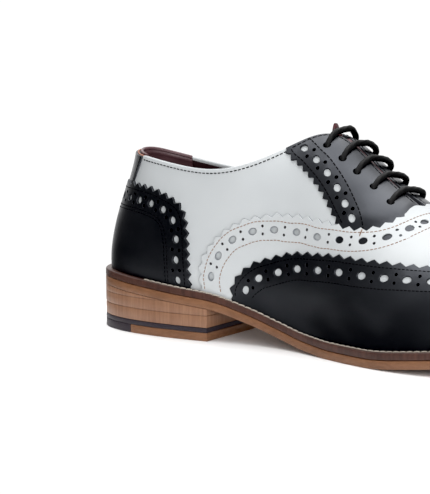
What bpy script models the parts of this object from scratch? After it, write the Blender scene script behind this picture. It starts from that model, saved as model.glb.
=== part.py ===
"""Brogue oxford, left shoe: a welted leather shoe with a stacked heel, worked out from the sections of its last.

Sizes are in millimetres until a mesh is made. The toe points along +X, the medial side faces -Y and the floor is
z = 0. A station counts the rows of the last's table from the back of the heel (0) to the tip of the toe, and a
share runs up each row's profile from the feather line (0) to the collar, throat or ridge (1).
"""
from collections import namedtuple
from math import ceil, cos, pi, sin

import bmesh
import bpy
import numpy as np

MM = 0.001
GAP = 0.3

# Bottom of the shoe
OUTSOLE = 4.7
WELT = 3.9
WELT_REACH_IN = 2.1
WELT_ROUND = 0.8
SOLE_ROUND = 0.6
INSOLE_REACH_IN = 2.4
INSOLE_ABOVE_WELT = 2.0

# Heel, as heights of its layers' upper faces above the floor
HEEL_BREAST_X = 80.0
TOP_PIECE_TOP = 4.6
LIFT_4_TOP = 7.4
LIFT_3_TOP = 14.1
LIFT_2_TOP = 20.3
WEDGE_END_X = 43.0
RUBBER_END_X = 27.5

# Upper, overlays and tongue
UPPER_WALL = 2.0
WING_SKIN = 1.5
VAMP_SKIN = 1.0
COUNTER_SKIN = 1.3
FACING_SKIN = 1.0
STRIP_SKIN = 0.9
SKIN_LOW_SHARE = 0.02
SEAM_GAP_SHARE = 0.008
RIDGE_SHARE = 0.98
SKIN_GAP = 0.4
STRIP_HALF = 1.5
FACING_FRONT = 8.0
THROAT_END = 8.25
THROAT_ROUND = 0.25
WING_NOTCH = 10.0
WING_PEAK = 9.45
VAMP_HORN = 0.12
TONGUE_WALL = 1.8
TONGUE_TOP = 5.72
TONGUE_BOTTOM = 8.2
TONGUE_LEVEL = 5.95
TONGUE_PROUD = 32.0
TONGUE_SIDE_ROWS = 2

# Lacing: five straight bars of round waxed lace
LACE_RADIUS = 1.7
LACE_SIDES = 8
EYELET_SHARE = 0.84
EYELET_STATIONS = (5.93, 6.35, 6.74, 7.15, 7.59)

# Fineness of the faceted solids
STEPS = 3
UPPER_ROWS = 9
SKIN_ROWS = 7
PEAK_ROWS = 2
LEAST_STEP = 0.1

Station = namedtuple(
    "Station",
    "name x medial lateral margin spine_x spine_y medial_top lateral_top top_half"
    " low_out low_up high_out high_down",
)
# x, medial and lateral give the sole's edge, margin its reach past the upper. Each profile leaves the feather line
# by low_out and low_up, and comes to its top, top_half from the spine, by high_out and high_down.
LAST_ROWS = [
    Station("heel_back", -5.0, 0.0, 0.0, 5.0, 32.0, 0.0, 98.8, 98.8, 18.5, 1.5, 20.0, 3.5, 20.0),
    Station("heel_corner", 5.0, 22.6, 22.6, 4.9, 35.0, 0.0, 98.3, 97.6, 19.5, 2.0, 22.0, 3.5, 20.0),
    Station("heel_side", 37.0, 33.4, 33.6, 4.3, 46.0, 0.0, 97.0, 92.0, 24.0, 3.0, 24.0, 3.5, 20.0),
    Station("heel_front", 76.0, 33.0, 34.0, 3.4, 76.0, 0.0, 94.0, 88.0, 26.5, 4.0, 26.0, 4.0, 22.0),
    Station("waist", 106.0, 30.6, 35.5, 3.2, 106.0, 0.8, 100.2, 96.0, 22.8, 5.0, 30.0, 7.0, 22.0),
    Station("cone", 127.0, 31.6, 38.5, 3.4, 127.0, 3.0, 110.8, 108.6, 12.2, 5.0, 36.0, 17.0, 15.0),
    Station("instep", 146.0, 36.0, 43.5, 3.9, 146.0, 5.0, 112.9, 111.4, 3.8, 5.0, 38.0, 27.0, 3.0),
    Station("facing", 170.0, 44.0, 51.0, 4.6, 170.0, 4.6, 95.6, 92.8, 3.2, 4.5, 34.0, 30.0, 0.6),
    Station("throat", 196.0, 51.3, 54.6, 5.2, 196.0, 2.4, 79.0, 78.4, 2.8, 4.0, 28.0, 30.0, 0.8),
    Station("ball_front", 227.0, 53.5, 51.5, 5.7, 224.0, -1.0, 64.8, 64.8, 3.0, 3.5, 23.0, 26.0, 0.8),
    Station("toe_side", 262.0, 46.0, 39.5, 6.0, 250.0, -4.0, 55.5, 55.5, 2.0, 3.0, 18.0, 20.0, 0.0),
    Station("toe_corner", 293.0, 30.0, 20.5, 6.0, 266.0, -5.0, 51.8, 51.8, 1.0, 2.5, 16.0, 15.0, 0.0),
    Station("toe_tip", 306.0, 5.5, -5.5, 6.0, 272.0, -5.5, 51.0, 51.0, 0.0, 2.5, 16.0, 14.0, 0.0),
]
TOE = len(LAST_ROWS) - 1
LOOP = 2 * TOE

SoleRow = namedtuple("SoleRow", "x bottom")
SOLE_ROWS = [
    SoleRow(-10.0, 24.1), SoleRow(5.0, 24.0), SoleRow(30.0, 22.5), SoleRow(60.0, 19.8), SoleRow(80.0, 18.0),
    SoleRow(105.0, 12.0), SoleRow(125.0, 6.2), SoleRow(145.0, 1.7), SoleRow(166.0, 0.0), SoleRow(190.0, 0.0),
    SoleRow(221.0, 2.5), SoleRow(262.0, 7.3), SoleRow(312.0, 14.5),
]

EdgeRow = namedtuple("EdgeRow", "station share")
COUNTER_EDGE = [
    EdgeRow(0.0, 0.715), EdgeRow(1.0, 0.735), EdgeRow(2.0, 0.75), EdgeRow(2.33, 0.727), EdgeRow(2.6, 0.675),
    EdgeRow(2.72, 0.57), EdgeRow(2.77, 0.40),
]
VAMP_EDGE = [
    EdgeRow(3.0, 0.20), EdgeRow(3.15, 0.34), EdgeRow(3.4, 0.47), EdgeRow(3.67, 0.544), EdgeRow(3.99, 0.576),
    EdgeRow(4.63, 0.552), EdgeRow(5.28, 0.502), EdgeRow(5.96, 0.48), EdgeRow(6.64, 0.512), EdgeRow(7.3, 0.584),
    EdgeRow(7.64, 0.662), EdgeRow(7.81, 0.728), EdgeRow(7.97, 0.81), EdgeRow(8.09, 0.87), EdgeRow(8.18, 0.93),
    EdgeRow(THROAT_END, 1.0),
]
WING_EDGE = [
    EdgeRow(3.58, 0.05), EdgeRow(3.75, 0.18), EdgeRow(4.29, 0.298), EdgeRow(4.98, 0.326), EdgeRow(5.98, 0.34),
    EdgeRow(6.98, 0.406), EdgeRow(7.99, 0.492), EdgeRow(8.8, 0.572), EdgeRow(9.33, 0.64), EdgeRow(9.67, 0.70),
    EdgeRow(WING_NOTCH, 0.778),
]
WING_PEAK_EDGE = [EdgeRow(WING_PEAK, 1.0), EdgeRow(9.67, 0.90), EdgeRow(WING_NOTCH, 0.778)]
VAMP_TURNS = [EdgeRow(3.55, 0), EdgeRow(WING_PEAK - 0.03, 1), EdgeRow(WING_PEAK, 1)]
FACING_REAR_EDGE = [
    EdgeRow(4.7, 0.97), EdgeRow(4.88, 0.884), EdgeRow(5.57, 0.696), EdgeRow(5.93, 0.634), EdgeRow(6.28, 0.584),
    EdgeRow(6.72, 0.516), EdgeRow(FACING_FRONT, 0.30),
]

Leather = namedtuple("Leather", "colour roughness")
FINISHES = {
    "black_calf": Leather((0.012, 0.012, 0.014), 0.3),
    "white_calf": Leather((0.72, 0.74, 0.76), 0.4),
    "tan_sole": Leather((0.24, 0.11, 0.05), 0.5),
    "brown_welt": Leather((0.07, 0.03, 0.02), 0.45),
    "black_rubber": Leather((0.02, 0.018, 0.02), 0.6),
    "lining": Leather((0.09, 0.025, 0.025), 0.6),
    "black_lace": Leather((0.01, 0.01, 0.01), 0.5),
}


def round_spline(values):
    """Closed cubic spline through values that stand one step apart."""
    values = np.array(values, float)
    count = len(values)
    matrix = np.zeros((count, count))
    bend = np.zeros(count)
    for i in range(count):
        before, after = (i - 1) % count, (i + 1) % count
        matrix[i, before] += 1
        matrix[i, i] += 4
        matrix[i, after] += 1
        bend[i] = 6 * (values[before] - 2 * values[i] + values[after])
    second = np.linalg.solve(matrix, bend)

    def read(place):
        place = np.asarray(place, float) % count
        i = np.floor(place).astype(int) % count
        j = (i + 1) % count
        b = place - np.floor(place)
        a = 1 - b
        curved = (second[i] * a**3 + second[j] * b**3) / 6
        return curved + (values[i] - second[i] / 6) * a + (values[j] - second[j] / 6) * b

    return read


def steady_curve(rows):
    """Smooth curve through rows of (place, value) that never overshoots them and stays level between equal ones."""
    places, values = (np.array(column, float) for column in zip(*rows))
    steps = np.diff(places)
    slopes = np.diff(values) / steps
    tangents = np.zeros(len(places))
    tangents[0], tangents[-1] = slopes[0], slopes[-1]
    for i in range(1, len(places) - 1):
        if slopes[i - 1] * slopes[i] > 0:
            before = 2 * steps[i] + steps[i - 1]
            after = steps[i] + 2 * steps[i - 1]
            tangents[i] = (before + after) / (before / slopes[i - 1] + after / slopes[i])

    def read(place):
        place = np.asarray(place, float)
        i = np.clip(np.searchsorted(places, place) - 1, 0, len(steps) - 1)
        u = np.clip((place - places[i]) / steps[i], 0, 1)
        ease = u * u * (3 - 2 * u)
        leave = u * (1 - u) ** 2 * steps[i] * tangents[i]
        arrive = u * u * (1 - u) * steps[i] * tangents[i + 1]
        return values[i] * (1 - ease) + values[i + 1] * ease + leave - arrive

    return read


def last_column(medial, lateral=None, medial_sign=1):
    """A column of the last's table as a closed curve, out along the medial side and back along the lateral."""
    out = [medial_sign * getattr(row, medial) for row in LAST_ROWS]
    back = [getattr(row, lateral or medial) for row in LAST_ROWS[-2:0:-1]]
    return round_spline(out + back)


CURVES = {name: last_column(name) for name in Station._fields[4:7] + Station._fields[9:]}
TOP_HEIGHT = last_column("medial_top", "lateral_top")
EDGE_X = last_column("x")
EDGE_Y = last_column("medial", "lateral", -1)
SOLE_BOTTOM = steady_curve(SOLE_ROWS)
COUNTER_TOP = steady_curve(COUNTER_EDGE)
VAMP_TOP = steady_curve(VAMP_EDGE)
WING_TOP = steady_curve(WING_EDGE)
WING_PEAK_LOW = steady_curve(WING_PEAK_EDGE)
FACING_REAR = steady_curve(FACING_REAR_EDGE)

# Box of the sole's outline: its middle is the origin, so that the shoe stands over it
OUTLINE = np.linspace(0, LOOP, 800)
MIDDLE_X = (EDGE_X(OUTLINE).min() + EDGE_X(OUTLINE).max()) / 2
MIDDLE_Y = (EDGE_Y(OUTLINE).min() + EDGE_Y(OUTLINE).max()) / 2


def around(station, side):
    """Place on the closed curves of a station, on the medial (-1) or lateral (+1) side."""
    return station if side < 0 else (LOOP - station) % LOOP


def sole_edge(place, inset):
    """Plan point of the sole's edge, moved inwards by inset."""
    small = 1e-3
    place = np.asarray(place, float)
    point = np.stack([EDGE_X(place), EDGE_Y(place)], -1)
    run_x = EDGE_X(place + small) - EDGE_X(place - small)
    run_y = EDGE_Y(place + small) - EDGE_Y(place - small)
    inwards = np.stack([-run_y, run_x], -1)
    inwards /= np.linalg.norm(inwards, axis=-1, keepdims=True)
    return point + inwards * np.asarray(inset, float)[..., None]


def last_surface(place, share):
    """Outer face of the upper."""
    foot = sole_edge(place, CURVES["margin"](place))
    spine = np.stack([CURVES["spine_x"](place), CURVES["spine_y"](place)], -1)
    out = foot - spine
    foot_reach = np.linalg.norm(out, axis=-1)
    out /= foot_reach[..., None]
    foot_height = SOLE_BOTTOM(foot[..., 0]) + OUTSOLE + WELT + 2 * GAP
    station = np.minimum(place % LOOP, LOOP - place % LOOP)
    closing = np.clip((station - THROAT_END + THROAT_ROUND) / THROAT_ROUND, 0, 1)
    half = np.maximum(CURVES["top_half"](place), 0)
    top_reach = half * np.sqrt(1 - closing**2)
    top_height = TOP_HEIGHT(place)
    left = 1 - share
    weights = left**3, 3 * left**2 * share, 3 * left * share**2, share**3
    reaches = foot_reach, foot_reach + CURVES["low_out"](place), half + CURVES["high_out"](place), top_reach
    heights = (
        foot_height, foot_height + CURVES["low_up"](place), top_height - CURVES["high_down"](place), top_height,
    )
    reach = sum(weight * value for weight, value in zip(weights, reaches))
    height = sum(weight * value for weight, value in zip(weights, heights))
    plan = spine + out * reach[..., None]
    return np.stack([plan[..., 0], plan[..., 1], height], -1)


def last_normal(place, share):
    """Outward direction of the upper's face, read just below the ridge, where the toe's rows close up."""
    small = 1e-3
    share = np.minimum(share, RIDGE_SHARE)
    low, high = np.clip(share - small, 0, 1), np.clip(share + small, 0, 1)
    along = last_surface(place + small, share) - last_surface(place - small, share)
    upward = last_surface(place, high) - last_surface(place, low)
    outward = np.cross(along, upward)
    return outward / np.linalg.norm(outward, axis=-1, keepdims=True)


def lifted(places, shares, lift):
    """Points lifted off the upper's face. On the closed ridge both sides share one direction."""
    places, shares = np.array(places, float), np.array(shares, float)
    normals = last_normal(places, shares)
    station = np.minimum(places % LOOP, LOOP - places % LOOP)
    ridge = (shares >= 1) & (station >= THROAT_END)
    across = normals + last_normal(LOOP - places, shares)
    across /= np.linalg.norm(across, axis=-1, keepdims=True)
    normals = np.where(ridge[:, None], across, normals)
    return last_surface(places, shares) + normals * lift


def make_object(name, points, faces, finish):
    """A named object from points in millimetres, with its faces turned outwards."""
    mesh = bpy.data.meshes.new(name)
    moved = (np.array(points) - (MIDDLE_X, MIDDLE_Y, 0)) * MM
    mesh.from_pydata(moved.tolist(), [], faces)
    shape = bmesh.new()
    shape.from_mesh(mesh)
    bmesh.ops.recalc_face_normals(shape, faces=shape.faces)
    shape.to_mesh(mesh)
    shape.free()
    mesh.shade_smooth()
    mesh.set_sharp_from_angle(angle=0.6)
    mesh.materials.append(finish)
    thing = bpy.data.objects.new(name, mesh)
    bpy.context.collection.objects.link(thing)
    return thing


def make_finish(name, leather):
    finish = bpy.data.materials.new(name)
    finish.use_nodes = True
    shader = finish.node_tree.nodes["Principled BSDF"]
    shader.inputs["Base Color"].default_value = (*leather.colour, 1)
    shader.inputs["Roughness"].default_value = leather.roughness
    shader.inputs["Metallic"].default_value = 0
    return finish


class Skin:
    """A sheet of leather over the last: two faces with the same layout, closed round their free edges."""

    def __init__(self, lift, thickness):
        self.lift, self.thickness = lift, thickness
        self.places, self.shares = [], []
        self.index = {}
        self.faces = []

    def point(self, station, side, share):
        """Number of the point there. The two sides meet at the heel, at the toe and on the closed ridge."""
        ridge = share >= 1 and station >= THROAT_END
        meets = station in (0, TOE) or ridge
        key = (round(station, 6), 0 if meets else side, round(share, 6))
        if key not in self.index:
            self.index[key] = len(self.places)
            self.places.append(around(station, -1 if meets else side))
            self.shares.append(share)
        return self.index[key]

    def panel(self, stations, side, low, high, rows):
        """Quads between two edges that are functions of the station."""
        columns = []
        for station in stations:
            bottom, top = float(low(station)), float(high(station))
            shares = [bottom + (top - bottom) * row / rows for row in range(rows)] + [top]
            columns.append([self.point(station, side, share) for share in shares])
        for one, two in zip(columns, columns[1:]):
            for row in range(rows):
                corners = [one[row], two[row], two[row + 1], one[row + 1]]
                distinct = list(dict.fromkeys(corners))
                if len(distinct) > 2:
                    self.faces.append(distinct)

    def make(self, name, finish):
        count = len(self.places)
        outer = lifted(self.places, self.shares, self.lift + self.thickness)
        inner = lifted(self.places, self.shares, self.lift)
        uses = {}
        for face in self.faces:
            for pair in zip(face, face[1:] + face[:1]):
                uses.setdefault(frozenset(pair), []).append(pair)
        faces = self.faces + [[corner + count for corner in reversed(face)] for face in self.faces]
        for pairs in uses.values():
            if len(pairs) == 1:
                a, b = pairs[0]
                faces.append([b, a, a + count, b + count])
        return make_object(name, np.concatenate([outer, inner]), faces, finish)


def spread(start, end, edge=()):
    """Stations from start to end: the last's own steps, and the rows of an edge that passes there."""
    marks = {start, end, *(row.station for row in edge if start < row.station < end)}
    steps = [step / STEPS for step in range(ceil(start * STEPS), ceil(end * STEPS))]
    steps = [step for step in steps if min(abs(step - mark) for mark in marks) > LEAST_STEP]
    return sorted([*marks, *steps])


def make_upper(finish):
    skin = Skin(-UPPER_WALL, UPPER_WALL)
    rounding = [EdgeRow(THROAT_END - THROAT_ROUND * part, 1) for part in (1, 0.35, 0)]
    for side in (-1, 1):
        skin.panel(spread(0, TOE, rounding), side, lambda station: 0, lambda station: 1, UPPER_ROWS)
    skin.make("upper", finish)


def skin_foot(station):
    """Lower edge of a panel that runs down to the welt."""
    return SKIN_LOW_SHARE


def ridge(station):
    """Upper edge of a panel that ends on the collar or throat, or joins its other half on the ridge."""
    return 1


def make_wing_cap(finish):
    skin = Skin(SKIN_GAP, WING_SKIN)
    wing = spread(WING_EDGE[0].station, WING_NOTCH, WING_EDGE)
    peak = spread(WING_PEAK, WING_NOTCH, WING_PEAK_EDGE)
    toe = spread(WING_NOTCH, TOE)
    notch_share = WING_EDGE[-1].share
    for side in (-1, 1):
        skin.panel(wing, side, skin_foot, WING_TOP, SKIN_ROWS)
        skin.panel(peak, side, WING_PEAK_LOW, ridge, PEAK_ROWS)
        skin.panel(toe, side, skin_foot, lambda station: notch_share, SKIN_ROWS)
        skin.panel(toe, side, lambda station: notch_share, ridge, PEAK_ROWS)
    skin.make("wing_cap", finish)


def vamp_low(station):
    """Lower edge of the vamp: the feather line behind the wing, then the wing's own edge."""
    if station < WING_EDGE[0].station:
        return SKIN_LOW_SHARE
    return float(WING_TOP(station)) + 2 * SEAM_GAP_SHARE


def vamp_high(station):
    """Upper edge of the vamp, which crosses the ridge between the throat and the wing cap's peak."""
    if station < THROAT_END:
        return float(VAMP_TOP(station))
    if station < WING_PEAK:
        return 1
    return float(WING_PEAK_LOW(station)) - 3 * SEAM_GAP_SHARE


def make_vamp(finish):
    skin = Skin(SKIN_GAP, VAMP_SKIN)
    stations = spread(VAMP_EDGE[0].station, WING_NOTCH - VAMP_HORN, VAMP_EDGE + WING_EDGE + VAMP_TURNS)
    for side in (-1, 1):
        skin.panel(stations, side, vamp_low, vamp_high, SKIN_ROWS)
    skin.make("vamp", finish)


def make_heel_counter(finish):
    skin = Skin(SKIN_GAP, COUNTER_SKIN)
    for side in (-1, 1):
        stations = spread(0, COUNTER_EDGE[-1].station, COUNTER_EDGE)
        skin.panel(stations, side, skin_foot, COUNTER_TOP, SKIN_ROWS)
    skin.make("heel_counter", finish)


def strip_low(station):
    return float(COUNTER_TOP(station)) + SEAM_GAP_SHARE


def make_back_strip(finish):
    skin = Skin(SKIN_GAP, STRIP_SKIN)
    for side in (-1, 1):
        skin.panel(spread(0, STRIP_HALF, COUNTER_EDGE), side, strip_low, ridge, PEAK_ROWS)
    skin.make("back_strip", finish)


def facing_low(station):
    """Rear and lower edge of an eyestay: its own sweep down from the topline, then the vamp's edge."""
    return max(float(FACING_REAR(station)), float(VAMP_TOP(station)) + SEAM_GAP_SHARE)


def make_facing(name, side, finish):
    skin = Skin(SKIN_GAP, FACING_SKIN)
    stations = spread(FACING_REAR_EDGE[0].station, FACING_FRONT, FACING_REAR_EDGE + VAMP_EDGE)
    skin.panel(stations, side, facing_low, ridge, SKIN_ROWS)
    skin.make(name, finish)


def make_tongue(finish):
    """Tongue: it lies under the eyestays against the upper's inner face and crowns over the gap between them.

    Above the level station its crown stands proud, by more millimetres the nearer a row lies to the top.
    """
    stations = spread(TONGUE_TOP, TONGUE_BOTTOM)
    shares = np.linspace(1 - TONGUE_SIDE_ROWS / UPPER_ROWS, 1, TONGUE_SIDE_ROWS + 1)
    crown = np.linspace(0, 1, 5)[1:-1]
    layers = []
    for depth in (UPPER_WALL + GAP, UPPER_WALL + GAP + TONGUE_WALL):
        rows = []
        for station in stations:
            sides = [lifted(np.full(len(shares), around(station, side)), shares, -depth) for side in (-1, 1)]
            near, far = sides[0][-1], sides[1][-1]
            near_rise, far_rise = near - sides[0][-2], far - sides[1][-2]
            span = abs(far[1] - near[1])
            rise = span * (near_rise[2] / abs(near_rise[1]) + far_rise[2] / abs(far_rise[1])) / 8
            rise += TONGUE_PROUD * max(0, TONGUE_LEVEL - station)
            middle = [near + (far - near) * u + (0, 0, 4 * u * (1 - u) * rise) for u in crown]
            rows.append(np.concatenate([sides[0], middle, sides[1][::-1]]))
        layers.append(np.array(rows))
    make_slab("tongue", layers[0], layers[1], finish)


def make_slab(name, upper_face, lower_face, finish):
    """A closed slab between two grids of points with the same layout."""
    rows, columns = upper_face.shape[:2]
    count = rows * columns
    points = np.concatenate([upper_face.reshape(-1, 3), lower_face.reshape(-1, 3)])
    at = np.arange(count).reshape(rows, columns)
    faces = []
    for i in range(rows - 1):
        for j in range(columns - 1):
            quad = [at[i, j], at[i + 1, j], at[i + 1, j + 1], at[i, j + 1]]
            faces.append([int(corner) for corner in quad])
            faces.append([int(corner) + count for corner in reversed(quad)])
    rim = [*at[0, :], *at[1:, -1], *at[-1, -2::-1], *at[-2:0:-1, 0]]
    for a, b in zip(rim, rim[1:] + rim[:1]):
        faces.append([int(a), int(b), int(b) + count, int(a) + count])
    make_object(name, points, faces, finish)


def make_board(name, stations, rings, finish):
    """A board across the sole from the heel's back: each ring gives an inset from the edge and a height."""
    outlines = []
    ends = [station for station in stations if station in (0, TOE)]
    medial = [around(station, -1) for station in stations]
    lateral = [around(station, 1) for station in reversed(stations) if station not in ends]
    for inset, height in rings:
        places = np.array(medial + lateral, float)
        plan = sole_edge(places, inset(places))
        outlines.append(np.column_stack([plan, height(plan[:, 0])]))
    count = len(outlines[0])
    points = np.concatenate(outlines)
    faces = []
    for ring in range(len(rings) - 1):
        for i in range(count):
            j = (i + 1) % count
            faces.append([ring * count + i, ring * count + j, (ring + 1) * count + j, (ring + 1) * count + i])
    first = count if 0 in ends else count - 1
    for base in (0, (len(rings) - 1) * count):
        for i in range(len(stations) - 1):
            corners = dict.fromkeys([i, i + 1, (first - i - 1) % count, (first - i) % count])
            faces.append([base + corner for corner in corners])
    make_object(name, points, faces, finish)


def level(height):
    return lambda x: np.full(np.shape(x), height)


def above_sole(height):
    return lambda x: SOLE_BOTTOM(x) + height


def no_inset(places):
    return np.zeros(np.shape(places))


def inside_edge(distance):
    return lambda places: np.full(np.shape(places), distance)


def inside_feather(distance):
    return lambda places: CURVES["margin"](places) + distance


def station_at(x):
    """Station whose point on the sole's edge lies at x."""
    low, high = 0.0, float(TOE)
    while high - low > 1e-7:
        middle = (low + high) / 2
        if EDGE_X(middle) < x:
            low = middle
        else:
            high = middle
    return low


def sole_stations():
    """Stations along the sole, with the ends of its flat tread among them."""
    tread = [EdgeRow(station_at(row.x), 0) for row in SOLE_ROWS if row.bottom == 0]
    return spread(0, TOE, tread)


def make_outsole(finish):
    rings = [
        (inside_edge(SOLE_ROUND), above_sole(0)),
        (no_inset, above_sole(SOLE_ROUND)),
        (no_inset, above_sole(OUTSOLE)),
    ]
    make_board("outsole", sole_stations(), rings, finish)


def make_insole(finish):
    bottom = OUTSOLE + GAP
    top = OUTSOLE + GAP + WELT + INSOLE_ABOVE_WELT
    rings = [
        (inside_feather(INSOLE_REACH_IN), above_sole(bottom)),
        (inside_feather(INSOLE_REACH_IN), above_sole(top)),
    ]
    make_board("insole", sole_stations(), rings, finish)


def make_welt(finish):
    """Rand that runs right round the shoe, with its upper edge rounded."""
    low, high = OUTSOLE + GAP, OUTSOLE + GAP + WELT
    section = [
        (no_inset, low),
        (no_inset, high - WELT_ROUND),
        (inside_edge(WELT_ROUND), high),
        (inside_feather(WELT_REACH_IN), high),
        (inside_feather(WELT_REACH_IN), low),
    ]
    stations = sole_stations()
    places = np.array(stations + [LOOP - station for station in stations[-2:0:-1]])
    points = []
    for inset, height in section:
        plan = sole_edge(places, inset(places))
        points.append(np.column_stack([plan, SOLE_BOTTOM(plan[:, 0]) + height]))
    count, sides = len(places), len(section)
    faces = []
    for side in range(sides):
        following = (side + 1) % sides
        for i in range(count):
            j = (i + 1) % count
            faces.append([side * count + i, side * count + j, following * count + j, following * count + i])
    make_object("welt", np.concatenate(points), faces, finish)


def make_heel(finishes):
    """Stacked heel under the seat: wedge, three lifts, and a top piece of rubber behind leather."""
    breast = station_at(HEEL_BREAST_X)
    seat = above_sole(-GAP)
    under_seat = lambda x: np.minimum(LIFT_2_TOP, SOLE_BOTTOM(x) - GAP)
    whole = spread(0, breast)
    layers = [
        ("heel_lift_1", spread(0, station_at(WEDGE_END_X)), level(LIFT_2_TOP + GAP), seat, "tan_sole"),
        ("heel_lift_2", whole, level(LIFT_3_TOP + GAP), under_seat, "tan_sole"),
        ("heel_lift_3", whole, level(LIFT_4_TOP + GAP), level(LIFT_3_TOP), "tan_sole"),
        ("heel_lift_4", whole, level(TOP_PIECE_TOP + GAP), level(LIFT_4_TOP), "black_rubber"),
        ("top_piece_rubber", spread(0, station_at(RUBBER_END_X)), level(0), level(TOP_PIECE_TOP), "black_rubber"),
        (
            "top_piece_leather", spread(station_at(RUBBER_END_X + GAP), breast), level(0), level(TOP_PIECE_TOP),
            "tan_sole",
        ),
    ]
    for name, stations, bottom, top, finish in layers:
        make_board(name, stations, [(no_inset, bottom), (no_inset, top)], finishes[finish])


def make_lace_bar(name, station, finish):
    """A bar of lace across the throat, seated on both eyestays and bridging the gap."""
    lift = SKIN_GAP + FACING_SKIN + GAP + LACE_RADIUS
    shares = np.linspace(EYELET_SHARE, 1, 5)
    sides = [lifted(np.full(5, around(station, side)), shares, lift) for side in (-1, 1)]
    near, far = sides[0][-1], sides[1][-1]
    rise = (near - sides[0][-2])[2] * 0.5
    middle = [near + (far - near) * u + (0, 0, 4 * u * (1 - u) * rise) for u in (0.25, 0.5, 0.75)]
    path = np.concatenate([sides[0], middle, sides[1][::-1]])
    runs = np.gradient(path, axis=0)
    points = []
    for centre, run in zip(path, runs):
        along = run / np.linalg.norm(run)
        level_side = np.cross((1, 0, 0), along)
        level_side /= np.linalg.norm(level_side)
        other = np.cross(along, level_side)
        for k in range(LACE_SIDES):
            angle = 2 * pi * k / LACE_SIDES
            points.append(centre + LACE_RADIUS * (level_side * cos(angle) + other * sin(angle)))
    faces = []
    for ring in range(len(path) - 1):
        for k in range(LACE_SIDES):
            a, b = ring * LACE_SIDES + k, ring * LACE_SIDES + (k + 1) % LACE_SIDES
            faces.append([a, b, b + LACE_SIDES, a + LACE_SIDES])
    last = (len(path) - 1) * LACE_SIDES
    faces += [list(range(LACE_SIDES)), list(range(last, last + LACE_SIDES))]
    make_object(name, points, faces, finish)


def main():
    for thing in list(bpy.data.objects):
        bpy.data.objects.remove(thing)
    finishes = {name: make_finish(name, leather) for name, leather in FINISHES.items()}
    make_outsole(finishes["tan_sole"])
    make_welt(finishes["brown_welt"])
    make_insole(finishes["lining"])
    make_heel(finishes)
    make_upper(finishes["white_calf"])
    make_tongue(finishes["black_calf"])
    make_wing_cap(finishes["black_calf"])
    make_vamp(finishes["white_calf"])
    make_heel_counter(finishes["black_calf"])
    make_back_strip(finishes["black_calf"])
    make_facing("facing_medial", -1, finishes["black_calf"])
    make_facing("facing_lateral", 1, finishes["black_calf"])
    for number, station in enumerate(EYELET_STATIONS, 1):
        make_lace_bar(f"lace_bar_{number}", station, finishes["black_lace"])


main()
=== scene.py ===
from math import cos, pi, radians, sin

import bpy
import numpy as np
from mathutils import Matrix
from mathutils.geometry import delaunay_2d_cdt
from mathutils.kdtree import KDTree


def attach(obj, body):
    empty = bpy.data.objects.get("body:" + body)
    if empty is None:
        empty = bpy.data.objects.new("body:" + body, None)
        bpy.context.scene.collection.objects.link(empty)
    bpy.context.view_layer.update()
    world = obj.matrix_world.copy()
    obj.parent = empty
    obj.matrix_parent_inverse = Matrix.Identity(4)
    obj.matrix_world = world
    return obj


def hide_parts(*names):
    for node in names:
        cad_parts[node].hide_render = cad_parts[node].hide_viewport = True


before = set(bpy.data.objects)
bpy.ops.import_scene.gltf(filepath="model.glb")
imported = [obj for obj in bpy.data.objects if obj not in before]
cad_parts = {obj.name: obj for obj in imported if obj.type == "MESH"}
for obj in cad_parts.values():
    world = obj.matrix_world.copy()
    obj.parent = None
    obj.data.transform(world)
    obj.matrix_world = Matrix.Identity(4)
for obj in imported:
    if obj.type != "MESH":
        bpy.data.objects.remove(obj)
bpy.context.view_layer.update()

scene = bpy.context.scene
mm = 0.001

# camera at the photograph's angle: the shoe from its medial side, toe towards the right
view = {
    "azimuth": 34.6, "elevation": 8.92, "roll": -0.56, "distance": 1.7,
    "lookAt": (-0.1075, 0.0292, 0.0413), "lens": 216.8, "sensor": 36, "clipEnd": 50,
}


def makeCamera():
    azimuth, elevation = radians(view["azimuth"]), radians(view["elevation"])
    back = np.array([sin(azimuth) * cos(elevation), -cos(azimuth) * cos(elevation), sin(elevation)])
    level = np.array([cos(azimuth), sin(azimuth), 0])
    rise = np.cross(back, level)
    roll = radians(view["roll"])
    right = level * cos(roll) + rise * sin(roll)
    lens = bpy.data.cameras.new("camera")
    lens.lens = view["lens"]
    lens.sensor_width = view["sensor"]
    lens.clip_end = view["clipEnd"]
    camera = bpy.data.objects.new("camera", lens)
    turn = np.eye(4)
    turn[:3, :3] = np.column_stack([right, np.cross(back, right), back])
    turn[:3, 3] = np.array(view["lookAt"]) + back * view["distance"]
    camera.matrix_world = Matrix(turn.tolist())
    scene.collection.objects.link(camera)
    scene.camera = camera


makeCamera()
print("camera set")


# shader maths: a wire is a socket that can stand in an expression
class Wire:
    def __init__(self, finish, socket):
        self.finish = finish
        self.socket = socket

    def maths(self, operation, *values):
        return self.finish.node("ShaderNodeMath", {"operation": operation}, dict(enumerate(values)))

    def __add__(self, other):
        return self.maths("ADD", self, other)

    def __sub__(self, other):
        return self.maths("SUBTRACT", self, other)

    def __rsub__(self, other):
        return self.maths("SUBTRACT", other, self)

    def __mul__(self, other):
        return self.maths("MULTIPLY", self, other)

    __radd__ = __add__
    __rmul__ = __mul__

    def ramp(self, low, high):
        limits = {"Value": self, "From Min": low, "From Max": high}
        return self.finish.node("ShaderNodeMapRange", {"interpolation_type": "SMOOTHSTEP"}, limits)


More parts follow.
